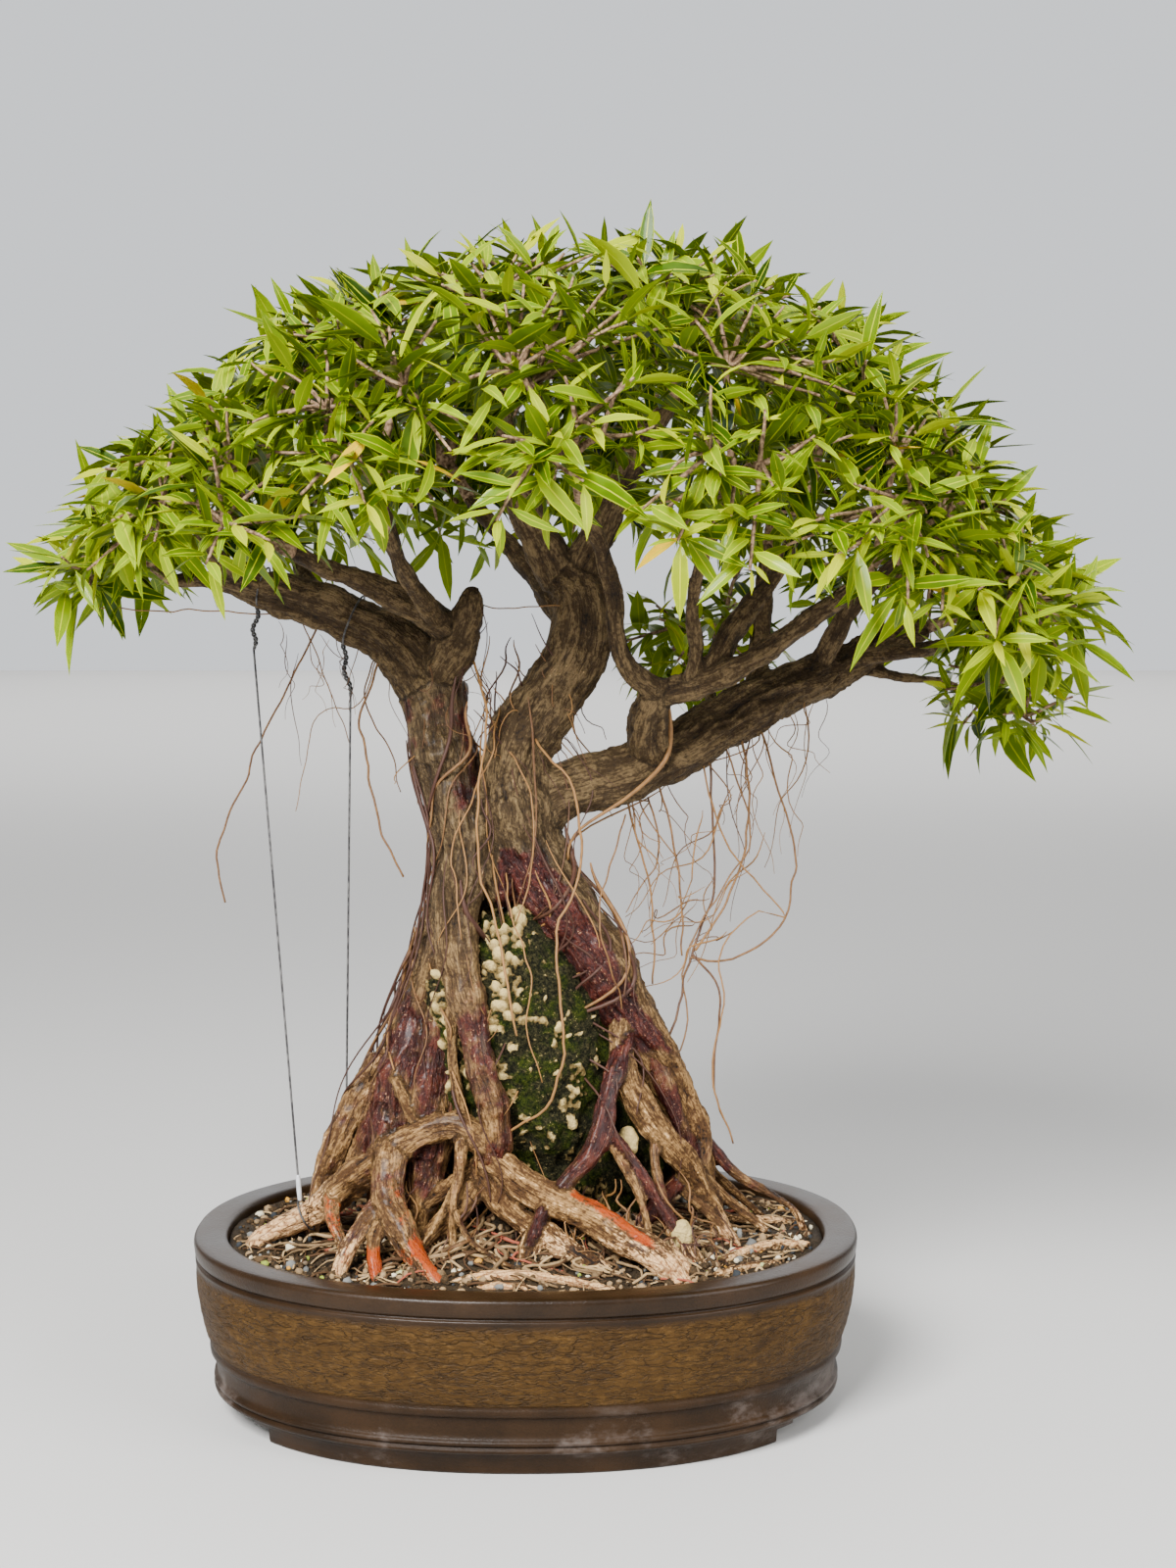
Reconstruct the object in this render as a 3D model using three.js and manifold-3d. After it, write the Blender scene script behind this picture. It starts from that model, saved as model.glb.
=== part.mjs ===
// Willow leaf ficus bonsai, root over rock, in its oval clay pot.
// Millimetres, +Z up. The shapes are laid out about the middle of the pot's foot, and the last lines
// shift the whole so that the origin is the bottom centre of the tree's overall box.

import * as THREE from 'three';
import Module from 'manifold-3d';

const wasm = await Module();
wasm.setup();

// Driving dimensions
const GAP = 0.35;                 // clearance kept between pieces that touch
const POT_LENGTH = 400;
const POT_WIDTH = 304;
const POT_HEIGHT = 105;
const POT_SQUARENESS = 2.2;       // exponent of the oval: 2 is an ellipse
const POT_POINTS = 28;            // points round each oval of the pot
const LIP_WIDTH = 20;
const FLOOR_UNDERSIDE = 14;
const FLOOR_TOP = 24;
const FOOT_HALF_LENGTH = 146;
const DRAIN_DIAMETER = 26;
const DRAIN_SPACING = 160;
const SCREEN_SIZE = 36;
const SCREEN_THICKNESS = 1.4;
const SOIL_EDGE_LEVEL = 100;
const SOIL_MOUND_HEIGHT = 32;
const SOIL_MOUND_RADIUS = 75;
const TRUNK_FORM = { sides: 8, ridge: 0.06 };
const LIMB_FORM = { sides: 5 };
const ROOT_FORM = { sides: 5, ridge: 0.05 };
const WIRE_RADIUS = 0.7;
const LEAF_LENGTH = 47;
const LEAF_WIDTH = 10;
const LEAF_THICKNESS = 1.5;
const TWIG_RADIUS = 1.9;
const LEAF_SEED = 500;            // start of the random turns of the leafy sprays

const V = (x, y, z) => new THREE.Vector3(x, y, z);

// A repeatable random number from 0 to 1
function randomSource(seed) {
  let state = seed;
  return () => {
    state = (state + 0x6d2b79f5) | 0;
    let t = Math.imul(state ^ (state >>> 15), 1 | state);
    t = (t + Math.imul(t ^ (t >>> 7), 61 | t)) ^ t;
    return ((t ^ (t >>> 14)) >>> 0) / 4294967296;
  };
}

// Closed solid from points and triangles, turned inside out if its faces point inwards
function solid(points, triangles) {
  let volume = 0;
  for (const [a, b, c] of triangles) {
    volume += points[a].dot(points[b].clone().cross(points[c]));
  }
  const triVerts = new Uint32Array(triangles.length * 3);
  triangles.forEach(([a, b, c], i) => triVerts.set(volume > 0 ? [a, b, c] : [a, c, b], 3 * i));
  const vertProperties = new Float32Array(points.length * 3);
  points.forEach((p, i) => vertProperties.set([p.x, p.y, p.z], 3 * i));
  return new wasm.Manifold(new wasm.Mesh({ numProp: 3, vertProperties, triVerts }));
}

// Skin over a stack of rings with the same number of points, closed at both ends by a fan
function loft(rings) {
  const count = rings[0].length;
  const points = rings.flat();
  const triangles = [];
  for (let r = 0; r + 1 < rings.length; r++) {
    for (let i = 0; i < count; i++) {
      const a = r * count + i;
      const b = r * count + (i + 1) % count;
      triangles.push([a, b, b + count], [a, b + count, a + count]);
    }
  }
  const last = (rings.length - 1) * count;
  for (const [start, flip] of [[0, true], [last, false]]) {
    const middle = points.length;
    const centre = V(0, 0, 0);
    for (let i = 0; i < count; i++) centre.addScaledVector(points[start + i], 1 / count);
    points.push(centre);
    for (let i = 0; i < count; i++) {
      const a = start + i;
      const b = start + (i + 1) % count;
      triangles.push(flip ? [middle, b, a] : [middle, a, b]);
    }
  }
  return solid(points, triangles);
}

function join(solids) {
  return solids.reduce((whole, next) => whole.add(next));
}

// The biggest connected piece: a cut may leave scraps
function largest(whole) {
  const pieces = whole.decompose();
  return pieces.reduce((best, next) => (next.volume() > best.volume() ? next : best));
}

function block(x0, x1, y0, y1, z0, z1) {
  const corner = (z) => [V(x0, y0, z), V(x1, y0, z), V(x1, y1, z), V(x0, y1, z)];
  return loft([corner(z0), corner(z1)]);
}

function disc(x, y, radius, z0, z1, sides = 16) {
  const ring = (z) => Array.from({ length: sides }, (_, i) => {
    const a = 2 * Math.PI * i / sides;
    return V(x + radius * Math.cos(a), y + radius * Math.sin(a), z);
  });
  return loft([ring(z0), ring(z1)]);
}

// Directions across a path: the tangent at each point, and a sideways pair carried along without twist
function pathFrames(points) {
  const tangents = points.map((p, i) => {
    const before = points[Math.max(i - 1, 0)];
    const after = points[Math.min(i + 1, points.length - 1)];
    return after.clone().sub(before).normalize();
  });
  const start = Math.abs(tangents[0].z) < 0.9 ? V(0, 0, 1) : V(0, -1, 0);
  let normal = start.clone().addScaledVector(tangents[0], -start.dot(tangents[0])).normalize();
  return tangents.map((tangent) => {
    normal = normal.clone().addScaledVector(tangent, -normal.dot(tangent)).normalize();
    return { tangent, normal, side: tangent.clone().cross(normal) };
  });
}

// Tapered stem along stations [x, y, z, radius]; ridge gives it three soft ribs that wind slowly
function stem(stations, { sides = 6, ridge = 0, grow = 0 } = {}) {
  const points = stations.map(([x, y, z]) => V(x, y, z));
  const frames = pathFrames(points);
  if (grow > 0) {
    points[0] = points[0].clone().addScaledVector(frames[0].tangent, -grow);
    const end = points.length - 1;
    points[end] = points[end].clone().addScaledVector(frames[end].tangent, grow);
  }
  return loft(points.map((p, s) => Array.from({ length: sides }, (_, i) => {
    const angle = 2 * Math.PI * i / sides;
    const wave = 1 + ridge * Math.cos(3 * angle + 0.35 * s);
    const radius = stations[s][3] * wave + grow;
    return p.clone()
      .addScaledVector(frames[s].normal, radius * Math.cos(angle))
      .addScaledVector(frames[s].side, radius * Math.sin(angle));
  })));
}

// The pot: oval rings inset from the rim's outer edge, at the heights of its mouldings
function ovalRing(inset, z, count) {
  return Array.from({ length: count }, (_, i) => {
    const angle = 2 * Math.PI * i / count;
    const c = Math.cos(angle);
    const s = Math.sin(angle);
    const power = 2 / POT_SQUARENESS;
    const x = (POT_LENGTH / 2 - inset) * Math.sign(c) * Math.abs(c) ** power;
    const y = (POT_WIDTH / 2 - inset) * Math.sign(s) * Math.abs(s) ** power;
    return V(x, y, z);
  });
}

function makePot() {
  const around = POT_POINTS;
  const wall = [
    [14.5, FLOOR_UNDERSIDE], [11, 16], [11, 21.5], [13, 23], [11.8, 35], [9.2, 37], [8.8, 42],
    [4.7, 56], [1.6, 74], [1.4, 91.5], [2.8, 93.4], [0.8, 95], [0, 102], [2.2, POT_HEIGHT],
    [LIP_WIDTH, POT_HEIGHT], [LIP_WIDTH + 3, FLOOR_TOP],
  ];
  const bowl = loft(wall.map(([inset, z]) => ovalRing(inset, z, around)));
  const band = loft([ovalRing(19.5, 0, around), ovalRing(14.8, FLOOR_UNDERSIDE + 0.6, around)])
    .subtract(loft([ovalRing(35, -1, around), ovalRing(33, FLOOR_UNDERSIDE + 2, around)]));
  const feet = [-1, 1].map((end) => {
    const [near, far] = [60 * end, POT_WIDTH / 2 * end].sort((a, b) => a - b);
    const long = block(-FOOT_HALF_LENGTH, FOOT_HALF_LENGTH, near, far, -1, FLOOR_UNDERSIDE + 2);
    const step = block(-FOOT_HALF_LENGTH - 10, FOOT_HALF_LENGTH + 10, near, far, 8, FLOOR_UNDERSIDE + 2);
    return band.intersect(long.add(step));
  });
  const drains = [-1, 1].map((end) => (
    disc(end * DRAIN_SPACING / 2, 0, DRAIN_DIAMETER / 2, 5, FLOOR_TOP + 5)));
  return join([bowl, ...feet]).subtract(join(drains));
}

// Plastic screen over a drain hole: a square plate with four openings
function makeScreen(end) {
  const x = end * DRAIN_SPACING / 2;
  const half = SCREEN_SIZE / 2;
  const bottom = FLOOR_TOP + GAP;
  const plate = block(x - half, x + half, -half, half, bottom, bottom + SCREEN_THICKNESS);
  const inner = 1.5;
  const outer = 13;
  const openings = [[-1, -1], [-1, 1], [1, -1], [1, 1]].map(([i, j]) => {
    const [x0, x1] = [x + i * inner, x + i * outer].sort((a, b) => a - b);
    const [y0, y1] = [j * inner, j * outer].sort((a, b) => a - b);
    return block(x0, x1, y0, y1, bottom - 1, bottom + SCREEN_THICKNESS + 1);
  });
  return plate.subtract(join(openings));
}

function soilLevel(x, y) {
  return SOIL_EDGE_LEVEL + SOIL_MOUND_HEIGHT * Math.exp(-(x * x + y * y) / SOIL_MOUND_RADIUS ** 2);
}

// The soil fills the pot to just below the rim and rises in a mound under the rock
function makeSoil(cutters) {
  const around = POT_POINTS;
  const random = randomSource(5);
  const bottom = FLOOR_TOP + GAP;
  const wallInset = (z) => LIP_WIDTH + 3 * (POT_HEIGHT - z) / (POT_HEIGHT - FLOOR_TOP) + 2 * GAP;
  const rings = [ovalRing(wallInset(bottom), bottom, around)];
  for (const share of [1, 0.7, 0.42, 0.2]) {
    const edge = ovalRing(wallInset(SOIL_EDGE_LEVEL), 0, around);
    rings.push(edge.map((p) => {
      const x = p.x * share;
      const y = p.y * share;
      const rough = share < 1 ? 2.4 * (random() - 0.5) : 0;
      return V(x, y, soilLevel(x, y) + rough);
    }));
  }
  const half = SCREEN_SIZE / 2 + GAP;
  const pockets = [-1, 1].map((end) => {
    const x = end * DRAIN_SPACING / 2;
    return block(x - half, x + half, -half, half, bottom - 1, bottom + SCREEN_THICKNESS + GAP);
  });
  return largest(loft(rings).subtract(join([...pockets, ...cutters])));
}

// The rock under the trunk: levels [z, centre x, centre y, half width, half depth] with a lumpy outline
const ROCK_LEVELS = [
  [104, 6, 8, 40, 34], [138, 4, 4, 53, 42], [176, 0, 0, 60, 51], [210, -3, -1, 62, 53],
  [242, -5, -1, 56, 48], [272, -9, -5, 38, 36], [298, -12, -10, 15, 17],
];

function makeRock(grow) {
  const around = 12;
  const random = randomSource(11);
  return loft(ROCK_LEVELS.map(([z, cx, cy, rx, ry], level) => Array.from({ length: around }, (_, i) => {
    const angle = 2 * Math.PI * (i + 0.5 * (level % 2)) / around;
    const lump = 0.93 + 0.14 * random();
    const lift = level > 0 && level < ROCK_LEVELS.length - 1 ? 7 * (random() - 0.5) : 0;
    const spread = level === 0 ? 0 : grow;
    const x = cx + (rx * lump + spread) * Math.cos(angle);
    const y = cy + (ry * lump + spread) * Math.sin(angle);
    return V(x, y, z + lift);
  })));
}

// Trunk and limbs: stations [x, y, z, radius] along each, thick end first
const TRUNK = {
  left_column: [
    [-57, 15, 431, 18], [-50, 4, 390, 18.5], [-42, -6, 355, 18.5], [-38, -14, 327, 17],
    [-40, -26, 302, 14], [-37, -42, 270, 11], [-30, -52, 240, 9.5], [-25, -57, 214, 9],
    [-18, -59, 190, 9], [-16, -58, 172, 9.5], [-20, -55, 154, 9],
  ],
  middle_column: [
    [20, 27, 501, 13], [33, 18, 480, 15.5], [30, 12, 450, 16.5], [13, 8, 425, 17.5],
    [0, 3, 402, 19], [-7, 0, 373, 21.5], [-3, -2, 344, 24], [9, -5, 319, 22.5],
    [24, -10, 297, 20.5], [39, -12, 275, 19], [54, -12, 250, 17.5], [68, -10, 226, 15.5],
    [82, -6, 202, 13.5], [95, -2, 177, 11], [103, 0, 157, 8.5], [106, -2, 139, 7], [108, -10, 118, 5],
  ],
  right_limb: [
    [-6, 0, 342, 18], [14, 2, 363, 17], [34, 6, 371, 16.5], [55, 14, 375, 16], [76, 24, 382, 15.7],
    [97, 34, 393, 16], [120, 46, 405, 16], [146, 58, 420, 15], [175, 70, 432, 13.5],
    [204, 82, 444, 11.5], [228, 92, 455, 9], [252, 98, 464, 6.5],
  ],
  left_bough: [
    [-57, 15, 431, 18], [-72, 18, 451, 16.5], [-93, 20, 465, 14.5], [-115, 22, 475, 13.5],
    [-136, 24, 483, 12.5], [-158, 26, 490, 10.5], [-176, 28, 494, 7.5], [-196, 31, 495, 5],
    [-216, 34, 494, 3.4],
  ],
};

const LIMBS = {
  left_stub: [
    [-52, 10, 440, 13.5], [-40, 0, 458, 12], [-33, -6, 474, 8.8], [-31, -8, 485, 6],
    [-30, -9, 490, 2.6],
  ],
  right_riser: [[77, 22, 384, 13.5], [73, 4, 403, 11.7], [75, -8, 419, 10.4], [82, -15, 431, 9.5]],
  riser_left: [
    [80, -14, 427, 8], [61, -28, 443, 7], [54, -36, 464, 5.8], [51, -44, 490, 5.2],
    [44, -66, 514, 4.5], [34, -90, 536, 3.6],
  ],
  riser_right: [
    [82, -14, 428, 9], [101, -22, 433, 8], [126, -34, 444, 6.8], [151, -46, 462, 6.2],
    [170, -58, 476, 5.4], [186, -72, 488, 4.2],
  ],
  riser_front: [
    [98, -22, 432, 5.4], [100, -34, 456, 4.7], [96, -46, 478, 4.2], [100, -66, 500, 3.8],
    [108, -92, 522, 3.2],
  ],
  riser_back: [
    [108, -26, 437, 6.3], [119, -22, 462, 6.3], [133, -15, 480, 5.6], [149, -6, 499, 4.8],
    [161, 6, 524, 4.2], [170, 14, 546, 3.6],
  ],
  left_bough_up: [[-170, 26, 494, 6.4], [-182, 20, 506, 5.2], [-193, 15, 520, 4.2], [-198, 12, 536, 3.4]],
  left_fork: [
    [-41, 0, 461, 10], [-60, -8, 476, 8.7], [-78, -16, 486, 7.8], [-95, -26, 494, 6.8],
    [-113, -42, 501, 5.4], [-130, -60, 510, 4.2],
  ],
  left_fork_up: [
    [-63, -9, 479, 5.5], [-72, -4, 497, 4.9], [-79, 2, 520, 4.4], [-86, 6, 548, 3.9],
    [-92, 8, 574, 3.3],
  ],
  left_front: [[-50, -3, 468, 6], [-60, -34, 484, 5.2], [-68, -66, 502, 4.6], [-74, -98, 522, 3.8]],
  top_left: [[21, 26, 494, 12], [8, 18, 520, 10.4], [-6, 12, 550, 8], [-12, 6, 578, 6], [-10, 2, 598, 4.2]],
  top_right: [
    [30, 22, 488, 12], [44, 26, 522, 9.6], [60, 26, 556, 7.6], [76, 22, 582, 5.8], [88, 16, 600, 4.2],
  ],
  right_shoulder: [[178, 70, 434, 7.5], [191, 58, 462, 6.4], [206, 48, 486, 5], [226, 42, 505, 3.8]],
  left_back: [[-118, 24, 478, 7], [-134, 54, 492, 5.6], [-146, 82, 508, 4.4], [-154, 102, 524, 3.4]],
  top_back_left: [[26, 20, 470, 9], [8, 54, 492, 7.4], [-16, 86, 520, 5.8], [-38, 110, 546, 4.2]],
  top_back_right: [[38, 24, 506, 8], [48, 58, 530, 6.4], [54, 90, 548, 5], [56, 114, 560, 3.8]],
  back_right: [[140, 56, 418, 8], [146, 84, 448, 6.6], [150, 108, 484, 5.2], [154, 124, 516, 4]],
  right_back: [[206, 84, 446, 6.5], [218, 106, 458, 5], [228, 124, 472, 3.6]],
  back_low: [[118, 46, 404, 6.5], [116, 72, 414, 5], [114, 92, 426, 3.6]],
  right_low: [[204, 82, 440, 4.5], [235, 88, 433, 3.4], [262, 92, 431, 2.6]],
  right_front: [[206, 80, 446, 6], [228, 52, 450, 5], [246, 18, 454, 4.2], [258, -12, 458, 3.4]],
};

// Roots that clasp the rock and run out into the soil
const ROOTS = {
  left_flare: [
    [-46, -8, 310, 12], [-54, -1, 284, 10], [-60, 2, 257, 9], [-68, 5, 229, 9], [-82, 7, 205, 9.4],
    [-94, 7, 182, 9], [-105, 5, 160, 8.5], [-116, 2, 138, 7], [-124, 0, 116, 5.4], [-130, -2, 94, 4],
  ],
  left_flare_front: [
    [-55, -8, 268, 8], [-62, -17, 240, 8], [-72, -24, 212, 8], [-80, -31, 184, 7.7],
    [-86, -42, 156, 6.8],
  ],
  left_flare_inner: [
    [-55, -14, 258, 6], [-52, -28, 230, 8], [-55, -35, 206, 9.4], [-59, -41, 184, 10],
    [-60, -46, 164, 8],
  ],
  crossing_root: [
    [-18, -57, 166, 8], [-37, -55, 177, 7.2], [-54, -51, 175, 7.6], [-74, -47, 164, 8.5],
    [-91, -44, 151, 9.6], [-108, -36, 136, 9.6], [-122, -28, 122, 7.8], [-143, -27, 111, 6.8],
    [-158, -32, 104, 5.4], [-166, -35, 92, 3.8],
  ],
  crossing_stub: [[-112, -36, 136, 6.2], [-112, -48, 122, 4.8], [-107, -57, 110, 3.6], [-103, -62, 94, 3]],
  fan_root: [
    [-78, -50, 160, 9.6], [-79, -66, 138, 8.9], [-72, -77, 125, 8.2], [-63, -88, 113, 7.2],
    [-50, -101, 101, 6], [-38, -108, 92, 4.4],
  ],
  fan_root_left: [[-81, -64, 138, 6.4], [-92, -75, 126, 5.5], [-101, -85, 113, 4.9], [-107, -94, 94, 4.2]],
  fan_root_middle: [[-78, -70, 132, 4.8], [-85, -82, 119, 4.6], [-84, -93, 107, 4.3], [-80, -102, 94, 3.6]],
  knee_left: [
    [-22, -54, 156, 7], [-40, -50, 144, 5.4], [-58, -46, 131, 4.6], [-72, -46, 116, 3.8],
    [-80, -46, 100, 3],
  ],
  knee_front_right: [
    [-20, -55, 160, 9.5], [0, -62, 146, 9.5], [24, -70, 135, 9.4], [45, -78, 126, 8.8],
    [65, -88, 116, 7.9], [84, -98, 104, 6.6], [96, -106, 92, 4.8],
  ],
  knee_front_twin: [[56, -78, 124, 5.4], [74, -82, 118, 4.3], [90, -88, 106, 3.9], [100, -94, 93, 3.2]],
  under_knee: [
    [-24, -54, 150, 8.4], [-7, -64, 128, 7.2], [14, -72, 117, 6.6], [36, -84, 107, 5.5],
    [54, -96, 93, 3.6],
  ],
  under_knee_stump: [[8, -68, 119, 6.6], [2, -79, 108, 7], [0, -88, 94, 6.4]],
  pale_root: [
    [58, -18, 234, 9], [58, -32, 210, 8], [69, -36, 184, 9], [85, -32, 162, 8.6], [98, -26, 146, 7],
    [112, -20, 122, 4.8], [122, -18, 96, 3.6],
  ],
  red_root: [
    [60, -26, 224, 6.5], [51, -46, 198, 6], [45, -56, 178, 6.4], [36, -63, 161, 5.4],
    [24, -68, 148, 4.2], [12, -74, 132, 3.4], [4, -80, 116, 3],
  ],
  red_root_right: [
    [46, -55, 178, 4.6], [64, -60, 155, 3.9], [76, -64, 138, 3.4], [90, -70, 118, 3],
    [100, -74, 96, 2.6],
  ],
  right_fork: [
    [103, -1, 160, 7], [99, -13, 143, 5.4], [86, -28, 133, 4.8], [74, -44, 122, 5],
    [62, -54, 104, 3.6],
  ],
  right_fork_front: [[80, -38, 128, 4.4], [86, -52, 114, 3.8], [91, -64, 96, 3]],
  right_fork_side: [[92, -22, 135, 4], [106, -26, 122, 3.8], [120, -30, 106, 3.4], [130, -32, 92, 2.8]],
  right_run: [
    [105, 2, 158, 5], [126, 0, 136, 3.4], [147, -2, 124, 3], [164, 0, 112, 2.6], [172, 2, 94, 2.4],
  ],
  back_root_left: [
    [-30, 0, 326, 15], [-33, 30, 290, 13], [-38, 47, 255, 10.5], [-44, 54, 215, 10],
    [-50, 60, 180, 9.4], [-60, 66, 150, 8.4], [-76, 76, 122, 6.8], [-92, 88, 94, 4.8],
  ],
  back_root_middle: [
    [4, 6, 324, 17], [8, 31, 290, 13.5], [12, 50, 250, 11], [10, 57, 210, 10.4], [6, 64, 172, 9.4],
    [4, 78, 140, 7.8], [8, 96, 114, 6.2], [14, 112, 92, 4.4],
  ],
  back_root_right: [
    [26, 4, 292, 14], [44, 26, 262, 11.5], [56, 40, 230, 10.4], [66, 49, 196, 9.4], [78, 56, 164, 8],
    [94, 66, 136, 6.6], [112, 78, 110, 5.2], [126, 88, 92, 3.8],
  ],
  back_flare_left: [
    [-50, 4, 292, 10.5], [-62, 24, 258, 9.2], [-74, 35, 222, 8.6], [-88, 43, 186, 8],
    [-104, 50, 150, 7], [-122, 60, 116, 5.2], [-134, 66, 94, 4],
  ],
};

// Aerial roots, thin and hanging, some of them grown into the roots below
const AERIAL_ROOTS = {
  pale_front: [
    [-2, -10, 408, 1.6], [14, -28, 392, 1.5], [28, -34, 374, 1.5], [33, -38, 345, 1.5],
    [30, -40, 316, 1.5], [20, -48, 296, 1.6], [20, -58, 268, 1.6], [24, -64, 232, 1.6],
    [16, -66, 196, 1.6], [-10, -60, 174, 1.6],
  ],
  neck_front: [
    [-34, -4, 454, 1.4], [-22, -22, 418, 1.4], [-25, -33, 382, 1.4], [-27, -37, 350, 1.4],
    [-24, -40, 318, 1.4], [-14, -50, 288, 1.4], [-8, -60, 258, 1.4], [-4, -63, 232, 1.2],
  ],
  limb_drop_near: [
    [60, 14, 368, 1.6], [68, 14, 335, 1.4], [75, 12, 306, 1.3], [78, 10, 276, 1.3], [77, 7, 250, 1.2],
  ],
  limb_drop_second: [[80, 22, 374, 1.5], [90, 18, 328, 1.4], [95, 14, 292, 1.3], [95, 11, 268, 1.2]],
  limb_drop_third: [
    [112, 40, 394, 1.6], [114, 31, 344, 1.4], [114, 24, 302, 1.4], [101, 14, 268, 1.4],
    [92, 6, 236, 1.4], [83, -4, 204, 1.6],
  ],
  limb_drop_fourth: [
    [132, 50, 404, 1.6], [137, 39, 356, 1.4], [131, 32, 320, 1.4], [116, 22, 286, 1.4],
    [103, 15, 270, 1.6],
  ],
  limb_drop_outer: [
    [143, 54, 410, 1.6], [156, 44, 364, 1.4], [165, 38, 332, 1.4], [160, 31, 292, 1.4],
    [140, 23, 270, 1.4], [118, 17, 264, 1.4], [100, 13, 266, 1.6],
  ],
  limb_drop_low: [
    [101, 14, 268, 1.6], [118, 10, 244, 1.4], [114, 4, 206, 1.4], [116, 1, 180, 1.3],
    [126, -2, 154, 1.2],
  ],
  left_drop: [
    [-84, 16, 458, 1.6], [-92, 8, 434, 1.4], [-99, 3, 410, 1.4], [-94, 0, 380, 1.4],
    [-86, -4, 345, 1.3], [-74, -8, 318, 1.2],
  ],
  left_drop_long: [
    [-124, 24, 472, 1.4], [-137, 30, 444, 1.3], [-157, 34, 410, 1.3], [-171, 36, 378, 1.3],
    [-190, 38, 334, 1.3], [-191, 38, 316, 1.2], [-186, 38, 296, 1.2],
  ],
};

function makeTree() {
  const parts = [];
  for (const stations of Object.values(TRUNK)) parts.push(stem(stations, TRUNK_FORM));
  for (const stations of Object.values(LIMBS)) parts.push(stem(stations, LIMB_FORM));
  for (const stations of Object.values(ROOTS)) parts.push(stem(stations, ROOT_FORM));
  for (const stations of Object.values(AERIAL_ROOTS)) parts.push(stem(stations, { sides: 3 }));
  return join(parts);
}

// What the rock and the soil leave free round the trunk's foot and the roots
function rootCutters() {
  const { left_column, middle_column } = TRUNK;
  const { pale_front, neck_front } = AERIAL_ROOTS;
  return [
    ...[left_column, middle_column].map((stations) => stem(stations, { ...TRUNK_FORM, grow: 0.5 })),
    ...Object.values(ROOTS).map((stations) => stem(stations, { ...ROOT_FORM, grow: 0.5 })),
    ...[pale_front, neck_front].map((stations) => stem(stations, { sides: 3, grow: 0.8 })),
  ];
}

// A guy wire: a loop of steel wire round the bough, a twisted length, a straight run and a lower loop
function wireLoop(centre, axis, radius) {
  const around = 10;
  const sides = 4;
  const [{ normal, side }] = pathFrames([centre, centre.clone().add(axis)]);
  const points = [];
  const triangles = [];
  for (let i = 0; i < around; i++) {
    const angle = 2 * Math.PI * i / around;
    const out = normal.clone().multiplyScalar(Math.cos(angle)).addScaledVector(side, Math.sin(angle));
    for (let j = 0; j < sides; j++) {
      const turn = 2 * Math.PI * j / sides;
      points.push(centre.clone()
        .addScaledVector(out, radius + WIRE_RADIUS * Math.cos(turn))
        .addScaledVector(axis, WIRE_RADIUS * Math.sin(turn)));
      const a = i * sides + j;
      const b = i * sides + (j + 1) % sides;
      const c = ((i + 1) % around) * sides + j;
      const d = ((i + 1) % around) * sides + (j + 1) % sides;
      triangles.push([a, b, d], [a, d, c]);
    }
  }
  return solid(points, triangles);
}

function makeWire({ upper, lower, twistEnd }) {
  const place = ({ at, along, branchRadius, towards }) => {
    const centre = V(...at);
    const axis = V(...along).normalize();
    const radius = branchRadius + 2 * WIRE_RADIUS + GAP;
    const pull = V(...towards).sub(centre);
    const out = pull.addScaledVector(axis, -pull.dot(axis)).normalize();
    return { loop: wireLoop(centre, axis, radius), meet: centre.clone().addScaledVector(out, radius) };
  };
  const top = place(upper);
  const bottom = place(lower);
  const run = [top.meet, V(...twistEnd), bottom.meet];
  const twisted = stem([[...run[0].toArray(), 1.5], [...run[1].toArray(), 1.5]], { sides: 6 });
  const straight = stem([
    [...run[1].toArray(), WIRE_RADIUS],
    [...run[2].toArray(), WIRE_RADIUS],
  ], { sides: 6 });
  return join([top.loop, bottom.loop, twisted, straight]);
}

const WIRES = {
  guy_wire_outer: {
    upper: { at: [-159, 26.1, 490.3], along: [-18, 2, 6], branchRadius: 10.6, towards: [-164, 24, 440] },
    twistEnd: [-165, 24, 452],
    lower: { at: [-130, -27.6, 117.8], along: [-21, 1, -11], branchRadius: 8, towards: [-134, -20, 200] },
  },
  guy_wire_inner: {
    upper: { at: [-104, 21, 470], along: [-22, 2, 10], branchRadius: 14.6, towards: [-108, 16, 430] },
    twistEnd: [-106, 17, 424],
    lower: { at: [-100, 6, 171], along: [-11, -2, -22], branchRadius: 9.4, towards: [-130, 6, 190] },
  },
};

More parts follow.
